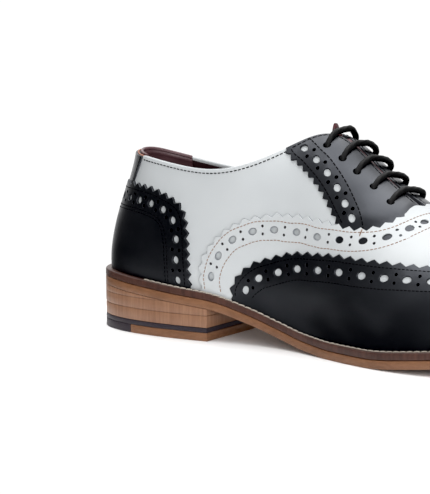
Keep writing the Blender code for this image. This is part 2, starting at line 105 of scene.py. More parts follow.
class Nodes:
    def __init__(self, tree, shader):
        self.tree = tree
        self.shader = tree.nodes[shader]

    def put(self, socket, value):
        if isinstance(value, Wire):
            self.tree.links.new(value.socket, socket)
        elif hasattr(value, "__len__") and len(value) == 3 and socket.type == "RGBA":
            socket.default_value = (*value, 1)
        else:
            socket.default_value = value

    def feed(self, socket, value):
        self.put(self.shader.inputs[socket], value)

    def node(self, kind, settings=(), sockets=(), out=0):
        made = self.tree.nodes.new(kind)
        for name, value in dict(settings).items():
            setattr(made, name, value)
        for name, value in dict(sockets).items():
            self.put(made.inputs[name], value)
        return Wire(self, made.outputs[out])


class Finish(Nodes):
    def __init__(self, name, **constants):
        self.material = bpy.data.materials.new(name)
        self.material.use_nodes = True
        super().__init__(self.material.node_tree, "Principled BSDF")
        for socket, value in constants.items():
            self.feed(socket.replace("_", " "), value)

    def place(self, scale=(1, 1, 1)):
        spot = self.node("ShaderNodeTexCoord", out=3)
        return self.node("ShaderNodeVectorMath", {"operation": "MULTIPLY"}, {0: spot, 1: scale})

    def noise(self, scale, detail=3, stretch=(1, 1, 1), rough=0.55):
        sockets = {"Vector": self.place(stretch), "Scale": scale, "Detail": detail, "Roughness": rough}
        return self.node("ShaderNodeTexNoise", (), sockets)

    def mix(self, factor, one, two):
        return self.node("ShaderNodeMix", {"data_type": "RGBA"}, {0: factor, 6: one, 7: two}, out=2)

    def blend(self, factor, other):
        # another shader where the factor is 1
        own = Wire(self, self.shader.outputs[0])
        both = self.node("ShaderNodeMixShader", (), {0: factor, 1: own, 2: other})
        self.put(self.tree.nodes["Material Output"].inputs[0], both)

    def mark(self, name):
        return self.node("ShaderNodeAttribute", {"attribute_name": name}, out=2)

    def bump(self, height, strength, depth):
        self.feed("Normal", self.node(
            "ShaderNodeBump", (), {"Strength": strength, "Distance": depth, "Height": height}))


calf = {
    # whiteRaw: the raw colour of cut edges, made darker as painted shade on hole walls, and painted shade on
    # hole floors
    "white": (0.555, 0.577, 0.588), "whiteShade": (0.51, 0.533, 0.546), "whiteRaw": (0.2, 0.215, 0.228),
    # the Pit colours: painted shade at the bottom of pricks
    "whitePit": (0.045, 0.04, 0.04), "whiteGloss": (1, 1, 1), "whiteWear": 0,
    "black": (0.005, 0.0052, 0.0062), "blackShade": (0.008, 0.0083, 0.0096),
    "blackRaw": (0.004, 0.004, 0.005), "blackPit": (0.001, 0.001, 0.0012),
    "blackGloss": (0.84, 0.89, 1.0), "blackWear": 1,
    "poreScale": 1500, "creaseScale": 260, "poreDepth": 0.00012, "cloudScale": 22, "patchScale": 22,
    # where the welt's dullness and painted shade start and are full, and their strength; the Wear values
    # switch these and the duller patches on
    "dullShadeFrom": 0.042, "dullShadeFull": 0.014, "dullShadeMix": 0.5, "patchWear": 0.3,
}
noiseScales = {"edge": 45, "twist": 2600, "rubber": 900, "liningCloud": 60, "liningPores": 1300}


def calfFinish(name, hue, roughness, coat, specular, poreStrength):
    finish = Finish(
        name, Coat_Roughness=0.24, IOR=1.5, Specular_IOR_Level=specular, Specular_Tint=calf[hue + "Gloss"])
    cloud = finish.noise(calf["cloudScale"], 2).ramp(0.3, 0.72)
    pores = finish.noise(calf["poreScale"], 4)
    folds = finish.noise(calf["creaseScale"], 3)
    # rim mark: raw colour and less gloss on cut edges; on hole floors its values paint shade
    rim = finish.mark("rim").ramp(0.35, 0.9)
    # painted shade: past 1.05 on the rim mark, at the bottom of pricks, the calf turns to a matte dark
    # diffuse in the Pit colour
    pit = finish.mark("rim").ramp(1.05, 1.9)
    face = finish.mix(cloud, calf[hue], calf[hue + "Shade"])
    finish.feed("Base Color", finish.mix(rim, face, calf[hue + "Raw"]))
    height = finish.node("ShaderNodeSeparateXYZ", (), {0: finish.place()}, out=2)
    dull = height.ramp(calf["dullShadeFrom"], calf["dullShadeFull"])  # duller down by the welt, and painted shade there
    uneven = finish.noise(calf["patchScale"], 1, (1, 1, 1.9)).ramp(0.36, 0.64)
    # painted shade: matte dark mixed into pits and down by the welt, with random duller patches as well
    shadeAndWear = pit + (dull * calf["dullShadeMix"] + uneven * calf["patchWear"]) * calf[hue + "Wear"]
    finish.blend(shadeAndWear, finish.node("ShaderNodeBsdfDiffuse", (), {"Color": calf[hue + "Pit"]}))
    finish.feed("Roughness", roughness + folds * 0.08 + rim * 0.25 + dull * 0.3)
    finish.feed("Coat Weight", coat * (1 - rim) * (1 - dull))
    finish.bump(pores * 0.6 + folds * 0.5, poreStrength, calf["poreDepth"])
    return finish.material


def leatherEdgeFinish(name, main, streak, roughness, streakScale, lift):
    finish = Finish(name, IOR=1.45)
    lines = finish.noise(streakScale, 4, (1, 1, lift), 0.6)
    broad = finish.noise(noiseScales["edge"], 3, (1, 1, lift))
    tone = (lines * 0.65 + broad * 0.5).ramp(0.36, 0.78)
    finish.feed("Base Color", finish.mix(tone, main, streak))
    finish.feed("Roughness", roughness + lines * 0.18)
    finish.bump(lines, 0.25, 0.0002)
    return finish.material


def threadFinish(name, main, shade, roughness, specular):
    finish = Finish(name, IOR=1.45, Specular_IOR_Level=specular)
    twist = finish.noise(noiseScales["twist"], 2)
    finish.feed("Base Color", finish.mix(twist.ramp(0.35, 0.65), main, shade))
    finish.feed("Roughness", roughness + twist * 0.15)
    finish.bump(twist, 0.4, 0.0001)
    return finish.material


def rubberFinish():
    finish = Finish("heelRubber", IOR=1.5, Specular_IOR_Level=0.4)
    grain = finish.noise(noiseScales["rubber"], 3)
    finish.feed("Base Color", finish.mix(grain.ramp(0.4, 0.75), (0.02, 0.014, 0.021), (0.032, 0.024, 0.032)))
    finish.feed("Roughness", 0.42 + grain * 0.2)
    finish.bump(grain, 0.2, 0.0001)
    return finish.material


def liningFinish(name, main, shade, roughness):
    finish = Finish(name, IOR=1.45)
    cloud = finish.noise(noiseScales["liningCloud"], 3)
    pores = finish.noise(noiseScales["liningPores"], 3)
    finish.feed("Base Color", finish.mix(cloud.ramp(0.3, 0.7), main, shade))
    finish.feed("Roughness", roughness + pores * 0.15)
    finish.bump(pores, 0.3, 0.00012)
    return finish.material


finishes = {
    "white": calfFinish("whiteCalf", "white", 0.42, 0.03, 0.2, 0.22),
    "black": calfFinish("blackCalf", "black", 0.32, 0.08, 0.78, 0.3),
    "tan": leatherEdgeFinish("soleEdge", (0.225, 0.107, 0.055), (0.155, 0.07, 0.034), 0.36, 240, 3.0),
    "stack": leatherEdgeFinish("stackedHeel", (0.30, 0.16, 0.097), (0.20, 0.10, 0.058), 0.36, 700, 0.08),
    "welt": leatherEdgeFinish("weltLeather", (0.085, 0.038, 0.028), (0.04, 0.018, 0.014), 0.36, 420, 0.25),
    "rubber": rubberFinish(),
    "lining": liningFinish("lining", (0.035, 0.018, 0.02), (0.025, 0.012, 0.014), 0.5),
    "patch": liningFinish("heelPatch", (0.15, 0.08, 0.088), (0.10, 0.052, 0.058), 0.34),
    "tape": liningFinish("collarTape", (0.40, 0.19, 0.13), (0.28, 0.12, 0.08), 0.6),
    "tongue": liningFinish("tongueCalf", (0.045, 0.02, 0.023), (0.12, 0.045, 0.05), 0.36),
    "lace": threadFinish("waxedLace", (0.0045, 0.0045, 0.005), (0.009, 0.009, 0.0092), 0.5, 0.22),
    "blackThread": threadFinish("blackThread", (0.0025, 0.0025, 0.003), (0.005, 0.005, 0.006), 0.75, 0.12),
    "tanThread": threadFinish("tanThread", (0.30, 0.19, 0.13), (0.20, 0.12, 0.085), 0.6, 0.4),
    "ivoryThread": threadFinish("ivoryThread", (0.54, 0.49, 0.42), (0.34, 0.30, 0.25), 0.6, 0.4),
}
print("finishes made")


# the last, in millimetres: one row for each section from the back of the heel to the tip of the toe
columns = (
    "x medial lateral margin spineX spineY medialTop lateralTop "
    "topHalf lowOut lowUp highOut highDown").split()
lastRows = [
    (-5.0, 0.0, 0.0, 5.0, 32.0, 0.0, 98.8, 98.8, 18.5, 1.5, 20.0, 3.5, 20.0),
    (5.0, 22.6, 22.6, 4.9, 35.0, 0.0, 98.3, 97.6, 19.5, 2.0, 22.0, 3.5, 20.0),
    (37.0, 33.4, 33.6, 4.3, 46.0, 0.0, 97.0, 92.0, 24.0, 3.0, 24.0, 3.5, 20.0),
    (76.0, 33.0, 34.0, 3.4, 76.0, 0.0, 94.0, 88.0, 26.5, 4.0, 26.0, 4.0, 22.0),
    (106.0, 30.6, 35.5, 3.2, 106.0, 0.8, 100.2, 96.0, 22.8, 5.0, 30.0, 7.0, 22.0),
    (127.0, 31.6, 38.5, 3.4, 127.0, 3.0, 110.8, 108.6, 12.2, 5.0, 36.0, 17.0, 15.0),
    (146.0, 36.0, 43.5, 3.9, 146.0, 5.0, 112.9, 111.4, 3.8, 5.0, 38.0, 27.0, 3.0),
    (170.0, 44.0, 51.0, 4.6, 170.0, 4.6, 95.6, 92.8, 3.2, 4.5, 34.0, 30.0, 0.6),
    (196.0, 51.3, 54.6, 5.2, 196.0, 2.4, 79.0, 78.4, 2.8, 4.0, 28.0, 30.0, 0.8),
    (227.0, 53.5, 51.5, 5.7, 224.0, -1.0, 64.8, 64.8, 3.0, 3.5, 23.0, 26.0, 0.8),
    (262.0, 46.0, 39.5, 6.0, 250.0, -4.0, 55.5, 55.5, 2.0, 3.0, 18.0, 20.0, 0.0),
    (293.0, 30.0, 20.5, 6.0, 266.0, -5.0, 51.8, 51.8, 1.0, 2.5, 16.0, 15.0, 0.0),
    (306.0, 5.5, -5.5, 6.0, 272.0, -5.5, 51.0, 51.0, 0.0, 2.5, 16.0, 14.0, 0.0),
]
# the tread's height along the shoe
soleRows = [
    (-10, 24.1), (5, 24), (30, 22.5), (60, 19.8), (80, 18), (105, 12), (125, 6.2), (145, 1.7),
    (166, 0), (190, 0), (221, 2.5), (262, 7.3), (312, 14.5),
]
toe = len(lastRows) - 1
loop = 2 * toe
build = {"outsole": 4.7, "welt": 3.9, "gap": 0.3, "throatEnd": 8.25, "throatRound": 0.25}


def roundSpline(values):
    values = np.array(values, float)
    count = len(values)
    matrix = 4 * np.eye(count) + np.roll(np.eye(count), 1, 0) + np.roll(np.eye(count), -1, 0)
    second = np.linalg.solve(matrix, 6 * (np.roll(values, 1) - 2 * values + np.roll(values, -1)))

    def read(place):
        place = np.asarray(place, float) % count
        i = np.floor(place).astype(int) % count
        j = (i + 1) % count
        b = place - np.floor(place)
        a = 1 - b
        curved = (second[i] * a**3 + second[j] * b**3) / 6
        return curved + (values[i] - second[i] / 6) * a + (values[j] - second[j] / 6) * b

    return read


def steadyCurve(rows):
    places, values = (np.array(column, float) for column in zip(*rows))
    steps = np.diff(places)
    slopes = np.diff(values) / steps
    tangents = np.zeros(len(places))
    tangents[0], tangents[-1] = slopes[0], slopes[-1]
    for i in range(1, len(places) - 1):
        if slopes[i - 1] * slopes[i] > 0:
            before = 2 * steps[i] + steps[i - 1]
            after = steps[i] + 2 * steps[i - 1]
            tangents[i] = (before + after) / (before / slopes[i - 1] + after / slopes[i])

    def read(place):
        place = np.asarray(place, float)
        i = np.clip(np.searchsorted(places, place) - 1, 0, len(steps) - 1)
        u = np.clip((place - places[i]) / steps[i], 0, 1)
        ease = u * u * (3 - 2 * u)
        leave = u * (1 - u) ** 2 * steps[i] * tangents[i]
        arrive = u * u * (1 - u) * steps[i] * tangents[i + 1]
        return values[i] * (1 - ease) + values[i + 1] * ease + leave - arrive

    return read


def lastColumn(medial, lateral=None, sign=1):
    out = [sign * row[columns.index(medial)] for row in lastRows]
    back = [row[columns.index(lateral or medial)] for row in lastRows[-2:0:-1]]
    return roundSpline(out + back)


curves = {name: lastColumn(name) for name in columns[3:6] + columns[8:]}
topHeight = lastColumn("medialTop", "lateralTop")
edgeX = lastColumn("x")
edgeY = lastColumn("medial", "lateral", -1)
soleBottom = steadyCurve(soleRows)
outlineSteps = np.linspace(0, loop, 800)
middle = np.array([
    (edgeX(outlineSteps).min() + edgeX(outlineSteps).max()) / 2,
    (edgeY(outlineSteps).min() + edgeY(outlineSteps).max()) / 2, 0])


def unit(vectors):
    return vectors / np.linalg.norm(vectors, axis=-1, keepdims=True)


def soleEdge(place, inset):
    small = 1e-3
    place = np.asarray(place, float)
    point = np.stack([edgeX(place), edgeY(place)], -1)
    runX = edgeX(place + small) - edgeX(place - small)
    runY = edgeY(place + small) - edgeY(place - small)
    return point + unit(np.stack([-runY, runX], -1)) * np.asarray(inset, float)[..., None]


def lastSurface(place, share, throatEnd=build["throatEnd"]):
    foot = soleEdge(place, curves["margin"](place))
    spine = np.stack([curves["spineX"](place), curves["spineY"](place)], -1)
    out = foot - spine
    footReach = np.linalg.norm(out, axis=-1)
    out = out / footReach[..., None]
    footHeight = soleBottom(foot[..., 0]) + build["outsole"] + build["welt"] + 2 * build["gap"]
    station = np.minimum(place % loop, loop - place % loop)
    closing = np.clip((station - throatEnd + build["throatRound"]) / build["throatRound"], 0, 1)
    half = np.maximum(curves["topHalf"](place), 0)
    top = topHeight(place)
    left = 1 - share
    weights = left**3, 3 * left**2 * share, 3 * left * share**2, share**3
    reaches = (
        footReach, footReach + curves["lowOut"](place), half + curves["highOut"](place),
        half * np.sqrt(1 - closing**2))
    heights = footHeight, footHeight + curves["lowUp"](place), top - curves["highDown"](place), top
    reach = sum(weight * value for weight, value in zip(weights, reaches))
    height = sum(weight * value for weight, value in zip(weights, heights))
    plan = spine + out * reach[..., None]
    return np.stack([plan[..., 0], plan[..., 1], height], -1)


def lastSteps(place, share):
    # how the face moves for one station and for one share
    small = 1e-3
    share = np.clip(share, 0, 0.98)
    along = (lastSurface(place + small, share) - lastSurface(place - small, share)) / (2 * small)
    upward = (lastSurface(place, share + small) - lastSurface(place, share - small)) / (2 * small)
    return along, upward


def lastNormal(place, share):
    return unit(np.cross(*lastSteps(place, share)))


# soft troughs and ridges that wear has left, as lines from one (station, share) to another
creases = [
    {"side": -1, "start": (8.75, 0.93), "end": (8.45, 0.42), "depth": 0.32, "width": 5.0},
    {"side": -1, "start": (9.15, 0.97), "end": (8.95, 0.5), "depth": 0.24, "width": 4.5},
    {"side": 1, "start": (8.7, 0.94), "end": (8.35, 0.4), "depth": 0.34, "width": 5.0},
    {"side": 1, "start": (9.1, 0.97), "end": (8.8, 0.45), "depth": 0.26, "width": 4.5},
    {"side": -1, "start": (6.9, 0.1), "end": (7.9, 0.3), "depth": -0.22, "width": 8.0},
    {"side": -1, "start": (7.3, 0.08), "end": (8.9, 0.2), "depth": 0.26, "width": 7.0},
    {"side": -1, "start": (3.1, 0.9), "end": (3.5, 0.62), "depth": 0.3, "width": 9.0},
    {"side": 1, "start": (3.0, 0.88), "end": (3.6, 0.6), "depth": 0.3, "width": 9.0},
    {"side": -1, "start": (0.6, 0.45), "end": (2.2, 0.4), "depth": -0.18, "width": 9.0},
]


def around(station, side):
    return station if side < 0 else (loop - np.asarray(station, float)) % loop


def creaseLift(points):
    lift = np.zeros(len(points))
    for crease in creases:
        line = np.linspace(crease["start"], crease["end"], 12)
        path = lastSurface(around(line[:, 0], crease["side"]), line[:, 1])
        away = np.full(len(points), 1e9)
        fade = np.zeros(len(points))
        for k in range(len(path)):
            reach = np.linalg.norm(points - path[k], axis=1)
            nearer = reach < away
            away = np.where(nearer, reach, away)
            fade = np.where(nearer, sin(pi * (k + 0.5) / len(path)), fade)
        lift -= crease["depth"] * fade * np.exp(-(away / crease["width"]) ** 2 * 2)
    return lift


def lay(places, shares, lift, throatEnd=build["throatEnd"]):
    # points lifted off the last's face; on the closed ridge both sides share one direction
    places, shares = np.array(places, float), np.array(shares, float)
    face = lastSurface(places, shares, throatEnd)
    normals = lastNormal(places, shares)
    station = np.minimum(places % loop, loop - places % loop)
    ridge = (shares >= 1) & (station >= throatEnd)
    across = unit(normals + lastNormal(loop - places, shares))
    normals = np.where(ridge[:, None], across, normals)
    lift = np.broadcast_to(lift, places.shape) + creaseLift(face)
    return face + normals * lift[:, None]


def shiftBy(points, moves):
    # the change of (station, share) that makes a move along the medial face
    along, upward = lastSteps(points[:, 0], points[:, 1])
    aa, ab, bb = ((one * two).sum(1) for one, two in ((along, along), (along, upward), (upward, upward)))
    am, bm = (along * moves).sum(1), (upward * moves).sum(1)
    share = aa * bb - ab * ab
    return np.column_stack([(bb * am - ab * bm) / share, (aa * bm - ab * am) / share])


def walk(points, directions, distances, steps=4):
    points = np.array(points, float)
    distances = np.broadcast_to(distances, len(points))
    for _ in range(steps):
        normals = lastNormal(points[:, 0], points[:, 1])
        flat = unit(directions - normals * (directions * normals).sum(1)[:, None])
        points = points + shiftBy(points, flat * (distances / steps)[:, None])
    return points


# rough millimetres to a station and to a full share, and spacings along lines
pattern = {"station": 28, "share": 95, "seamShare": 100, "bandShare": 85}
spacing = {"outline": 2.0, "row": 1.3, "fineRow": 1.2}


# a seam is a smooth line over the medial face that is read by its length in millimetres
class Seam:
    def __init__(self, rows):
        rows = np.array(rows, float)
        steps = np.diff(rows, axis=0) * (pattern["station"], pattern["seamShare"])
        chord = np.r_[0, np.cumsum(np.hypot(steps[:, 0], steps[:, 1]))]
        fine = np.linspace(0, chord[-1], 1600)
        stations, shares = steadyCurve(zip(chord, rows[:, 0])), steadyCurve(zip(chord, rows[:, 1]))
        self.line = np.column_stack([stations(fine), shares(fine)])
        path = lastSurface(self.line[:, 0], self.line[:, 1])
        self.arcs = np.r_[0, np.cumsum(np.linalg.norm(np.diff(path, axis=0), axis=1))]
        self.length = self.arcs[-1]

    def at(self, arcs):
        return np.column_stack([np.interp(arcs, self.arcs, self.line[:, k]) for k in (0, 1)])

    def frame(self, arcs):
        # points, directions along the seam, and directions to its left
        arcs = np.clip(np.asarray(arcs, float), 0, self.length)
        points = self.at(arcs)
        ends = [self.at(np.clip(arcs + step, 0, self.length)) for step in (-1.5, 1.5)]
        along = unit(lastSurface(ends[1][:, 0], ends[1][:, 1]) - lastSurface(ends[0][:, 0], ends[0][:, 1]))
        return points, along, unit(np.cross(lastNormal(points[:, 0], points[:, 1]), along))

    def beside(self, arcs, left):
        points, _, aside = self.frame(arcs)
        return walk(points, aside, left)

    def row(self, left=0.0, start=0.0, end=0.0, step=spacing["row"]):
        # points for stitches, to the seam's left and short of its ends
        return self.beside(np.arange(start, self.length - end, step), left)

    def pinked(self, start, end, pitch, depth):
        # zigzag with whole teeth, a point in the middle of each flank
        teeth = max(1, round((end - start) / pitch))
        arcs = np.linspace(start, end, 4 * teeth + 1)
        swing = np.tile([0.5, 0, -0.5, 0], teeth + 1)[: 4 * teeth + 1]
        return self.beside(arcs, swing * depth)


def openLine(rows, step=spacing["outline"]):
    seam = Seam(rows)
    return seam.at(np.linspace(0, seam.length, max(2, round(seam.length / step) + 1)))


def ring(centre, along, aside, radius, sides):
    turns = np.arange(sides) * 2 * pi / sides
    moves = (np.cos(turns)[:, None] * along + np.sin(turns)[:, None] * aside) * radius
    return centre + shiftBy(np.repeat(centre[None], sides, 0), moves)


sharpAngle = radians(38)


def makePiece(name, points, faces, finish, slot, normals=None, rim=None, stands=()):
    mesh = bpy.data.meshes.new(name)
    mesh.from_pydata(((np.array(points) - middle) * mm).tolist(), [], faces)
    if rim is not None:
        mesh.attributes.new("rim", "FLOAT", "POINT").data.foreach_set("value", np.asarray(rim, np.float32))
    mesh.shade_smooth()
    if normals is not None:
        mesh.normals_split_custom_set_from_vertices(normals.tolist())
    else:
        mesh.set_sharp_from_angle(angle=sharpAngle)
    mesh.materials.append(finish)
    piece = bpy.data.objects.new(name, mesh)
    scene.collection.objects.link(piece)
    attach(piece, "root")
    if stands:
        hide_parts(*stands)
    return piece


def faceNormals(points, triangles, count):
    # normals at the points, weighted by the corners' angles
    corners = points[triangles]
    flat = np.cross(corners[:, 1] - corners[:, 0], corners[:, 2] - corners[:, 0])
    flat /= np.maximum(np.linalg.norm(flat, axis=1, keepdims=True), 1e-12)
    total = np.zeros((count, 3))
    for k in range(3):
        one = corners[:, (k + 1) % 3] - corners[:, k]
        two = corners[:, (k + 2) % 3] - corners[:, k]
        lengths = np.linalg.norm(one, axis=1) * np.linalg.norm(two, axis=1)
        angle = np.arccos(np.clip((one * two).sum(1) / np.maximum(lengths, 1e-12), -1, 1))
        np.add.at(total, triangles[:, k], flat * angle[:, None])
    return total


def insideOutline(corners, spots):
    found = np.zeros(len(spots), bool)
    for a, b in zip(corners, np.roll(corners, -1, 0)):
        if a[1] == b[1]:
            continue
        crossing = (a[1] > spots[:, 1]) != (b[1] > spots[:, 1])
        found ^= crossing & (spots[:, 0] < (b[0] - a[0]) * (spots[:, 1] - a[1]) / (b[1] - a[1]) + a[0])
    return found


# a panel of leather, cut to a half pattern that is laid on both sides of the last
class Panel:
    def __init__(self, name, cut):
        self.name = name
        self.cut = cut
        self.points = np.zeros((0, 2))
        self.drops = np.zeros(0)
        self.mates = np.zeros(0, int)
        self.holeIds = np.zeros(0, int)
        self.pits = np.zeros(0)
        self.links = []
        self.outlinePoints = None
        self.centres = []

    def add(self, points, drop=0.0, mates=None, hole=-1, pit=0.0):
        first = len(self.points)
        count = len(points)
        self.points = np.concatenate([self.points, points])
        self.drops = np.concatenate([self.drops, np.full(count, drop)])
        self.mates = np.concatenate([self.mates, np.full(count, -1) if mates is None else mates])
        self.holeIds = np.concatenate([self.holeIds, np.full(count, hole)])
        self.pits = np.concatenate([self.pits, np.full(count, pit)])
        return np.arange(first, first + count)

    def link(self, numbers, closed=False):
        pairs = list(zip(numbers, numbers[1:]))
        if closed:
            pairs.append((numbers[-1], numbers[0]))
        self.links += [(int(a), int(b)) for a, b in pairs]

    def inset(self, points, amount, closed):
        face = lastSurface(points[:, 0], points[:, 1])
        normals = lastNormal(points[:, 0], points[:, 1])
        runs = unit(np.roll(face, -1, 0) - face)
        before = np.roll(runs, 1, 0)
        if not closed:
            before[0], runs[-1] = runs[0], before[-1]
        leftBefore, leftAfter = unit(np.cross(normals, before)), unit(np.cross(normals, runs))
        inward = unit(leftBefore + leftAfter)
        reach = amount / np.maximum(0.55, (inward * leftAfter).sum(1))
        return points + shiftBy(points, inward * reach[:, None])

    def outline(self, runs):
        # runs follow each other anticlockwise; those that aren't cut edges meet the other half
        soft = self.cut["soft"]
        self.outlinePoints = np.concatenate([points[:-1] for points, _ in runs])
        numbers = self.add(self.outlinePoints, soft)
        self.link(numbers, True)
        starts = np.r_[0, np.cumsum([len(points) - 1 for points, _ in runs])]
        total = starts[-1]
        if all(isCut for _, isCut in runs):
            inner = self.add(self.inset(self.outlinePoints, soft, True))
            self.link(inner, True)
            self.mates[numbers] = inner
            return
        firstCut = next(k for k in range(len(runs)) if runs[k][1] and not runs[k - 1][1])
        order = [(firstCut + k) % len(runs) for k in range(len(runs))]
        chain = []
        for k in order:
            if runs[k][1]:
                chain.append(k)
                if runs[(k + 1) % len(runs)][1]:
                    continue
                self.cutChain(runs, chain, numbers, starts, total)
                chain = []

    def cutChain(self, runs, chain, numbers, starts, total):
        soft = self.cut["soft"]
        span = sum(len(runs[k][0]) - 1 for k in chain) + 1
        picked = [numbers[(starts[chain[0]] + k) % total] for k in range(span)]
        points = self.points[picked]
        inner = self.inset(points, soft, False)
        before, after = runs[chain[0] - 1][0], runs[(chain[-1] + 1) % len(runs)][0]
        inner[0] = self.slide(before[-1], before[-2], soft)
        inner[-1] = self.slide(after[0], after[1], soft)
        made = self.add(inner)
        self.link(made)
        self.mates[picked] = made

    def slide(self, start, towards, amount):
        ends = lastSurface(np.array([start[0], towards[0]]), np.array([start[1], towards[1]]))
        return start + (towards - start) * amount / np.linalg.norm(ends[1] - ends[0])

    def hole(self, seam, arc, left, radius, sides, floor=None, stretch=(1, 1)):
        centre = seam.beside([arc], left)[0]
        _, along, aside = seam.frame([arc])
        ways = along[0] * stretch[0], aside[0] * stretch[1]
        if floor:
            self.sinkAt(centre, *ways, radius, sides, floor)
        else:
            self.holeAt(centre, *ways, radius, sides)

    def sinkAt(self, centre, along, aside, radius, sides, floor):
        # a hole with a floor: rings with a share of the radius, a depth and a painted shade, the last at the
        # centre
        for share, drop, shade in floor[:-1]:
            self.link(self.add(ring(centre, along, aside, radius * share, sides), drop, pit=shade), True)
        self.add(centre[None], floor[-1][1], pit=floor[-1][2])
        self.centres.append((centre, radius * floor[0][0]))

    def holeAt(self, centre, along, aside, radius, sides):
        soft = min(self.cut["soft"], radius * 0.3)
        number = len(self.centres)
        inner = self.add(ring(centre, along, aside, radius + soft, sides))
        outer = self.add(ring(centre, along, aside, radius, sides), soft, inner, number)
        self.link(inner, True)
        self.link(outer, True)
        self.centres.append((centre, radius + soft))

    def groove(self, line, width=0.5, depth=0.26):
        # three rows of points along a stitch line
        face = lastSurface(line[:, 0], line[:, 1])
        along = unit(np.gradient(face, axis=0))
        aside = unit(np.cross(lastNormal(line[:, 0], line[:, 1]), along))
        for offset, drop in ((-width, 0), (0, depth), (width, 0)):
            self.link(self.add(line + shiftBy(line, aside * offset), drop))

    def fill(self):
        step = self.cut["grid"]
        low, high = self.outlinePoints.min(0), self.outlinePoints.max(0)
        stations = np.arange(low[0], high[0], step / pattern["station"])
        shares = np.arange(low[1], high[1], step / pattern["share"])
        grid = np.stack(np.meshgrid(stations, shares, indexing="ij"), -1)
        grid[::2, :, 1] += step / pattern["share"] / 2
        grid = grid.reshape(-1, 2)
        grid = grid[insideOutline(self.outlinePoints, grid)]
        tree = KDTree(len(self.points))
        for k, spot in enumerate(lastSurface(self.points[:, 0], self.points[:, 1])):
            tree.insert(spot, k)
        tree.balance()
        spots = lastSurface(grid[:, 0], grid[:, 1])
        clear = np.array([tree.find(spot)[2] > step * 0.55 for spot in spots])
        for centre, radius in self.centres:
            middleSpot = lastSurface(centre[:1], centre[1:])[0]
            clear &= np.linalg.norm(spots - middleSpot, axis=1) > radius + 0.4
        self.add(grid[clear])

    def triangulate(self):
        scale = np.array([pattern["station"], pattern["share"]])
        verts, _, faces, origins, _, _ = delaunay_2d_cdt(
            [tuple(point) for point in self.points * scale], self.links, [], 0, 1e-6)
        own = np.array([origin[0] if origin else -1 for origin in origins])
        spots = np.array([tuple(vert) for vert in verts]) / scale
        known = own >= 0
        spots[known] = self.points[own[known]]
        faces = np.array([face for face in faces if len(face) == 3])
        marks = np.where(known, self.holeIds[own], -1)[faces]
        inHole = (marks[:, 0] >= 0) & (marks == marks[:, :1]).all(1)
        keep = ~inHole & insideOutline(self.outlinePoints, spots[faces].mean(1))
        faces = faces[keep]
        used = np.unique(faces)
        renumber = np.full(len(spots), -1)
        renumber[used] = np.arange(len(used))
        back = np.full(len(self.points), -1)
        back[own[used][own[used] >= 0]] = renumber[used[own[used] >= 0]]
        drops = np.where(known, self.drops[own], 0)[used]
        pits = np.where(known, self.pits[own], 0)[used]
        mates = np.where(known & (self.mates[own] >= 0), back[self.mates[own]], -1)[used]
        corners = spots[faces]
        turned = np.cross(corners[:, 1] - corners[:, 0], corners[:, 2] - corners[:, 0]) < 0
        faces[turned] = faces[turned][:, ::-1]
        return spots[used], renumber[faces], drops, mates, pits

    def make(self, finish, slot, stands, sides=(-1, 1)):
        cut = self.cut
        self.fill()
        spots, triangles, drops, mates, pits = self.triangulate()
        throatEnd = cut.get("throatEnd", build["throatEnd"])
        ridgeFrom = cut.get("ridgeFrom", 99)
        meets = [
            np.abs(spots[:, 0]) < 1e-7, np.abs(spots[:, 0] - toe) < 1e-7,
            (spots[:, 1] > 1 - 1e-7) & (spots[:, 0] > ridgeFrom - 1e-7)]
        top = np.broadcast_to(cut["face"](spots), len(spots)) - drops
        low = np.broadcast_to(cut["low"](spots), len(spots))
        uses = {}
        for a, b, c in triangles:
            for pair in ((a, b), (b, c), (c, a)):
                uses.setdefault((min(pair), max(pair)), []).append(pair)
        free = [
            pairs[0] for key, pairs in uses.items()
            if len(pairs) == 1 and not any(meet[key[0]] and meet[key[1]] for meet in meets)]
        shared = meets[0] | meets[1] | meets[2]
        count = len(spots)
        pointsOut, facesOut, numberOf = [], [], {}
        total = 0
        for side in sides:
            numbers = np.zeros(2 * count, int)
            places = around(spots[:, 0], side)
            layers = np.concatenate([
                lay(places, spots[:, 1], top, throatEnd), lay(places, spots[:, 1], low, throatEnd)])
            fresh = np.ones(2 * count, bool)
            if numberOf:
                fresh = ~np.tile(shared, 2)
                numbers[~fresh] = numberOf["first"][~fresh]
            numbers[fresh] = total + np.arange(fresh.sum())
            total += fresh.sum()
            numberOf.setdefault("first", numbers)
            pointsOut.append(layers[fresh])
            flip = side > 0
            up = numbers[triangles]
            down = numbers[triangles + count]
            walls = numbers[np.array([(b, a, a + count, b + count) for a, b in free])]
            facesOut.append((up[:, ::-1] if flip else up, down if flip else down[:, ::-1],
                             walls[:, ::-1] if flip else walls))
            numberOf[side] = numbers
        points = np.concatenate(pointsOut)
        upper = np.concatenate([groups[0] for groups in facesOut])
        sunk = np.zeros(total, bool)
        pairs = []
        for side in sides:
            numbers = numberOf[side]
            onEdge = np.flatnonzero(mates >= 0)
            sunk[numbers[:count]] = drops > 0
            pairs.append(np.column_stack([numbers[onEdge], numbers[mates[onEdge]], numbers[onEdge + count]]))
        pairs = np.concatenate(pairs)
        flatOnly = upper[~sunk[upper].any(1)]
        normals = faceNormals(points, flatOnly, total)
        lost = np.linalg.norm(normals, axis=1) < 1e-9
        normals[lost] = faceNormals(points, upper, total)[lost]
        for side in sides:
            numbers = numberOf[side]
            normals[numbers[count:]] = -normals[numbers[:count]]
        normals /= np.maximum(np.linalg.norm(normals, axis=1, keepdims=True), 1e-12)
        outward = points[pairs[:, 0]] - points[pairs[:, 1]]
        upright = normals[pairs[:, 1]]
        outward = unit(outward - upright * (outward * upright).sum(1)[:, None])
        normals[pairs[:, 0]] = unit(outward + upright * 0.25)
        normals[pairs[:, 2]] = outward
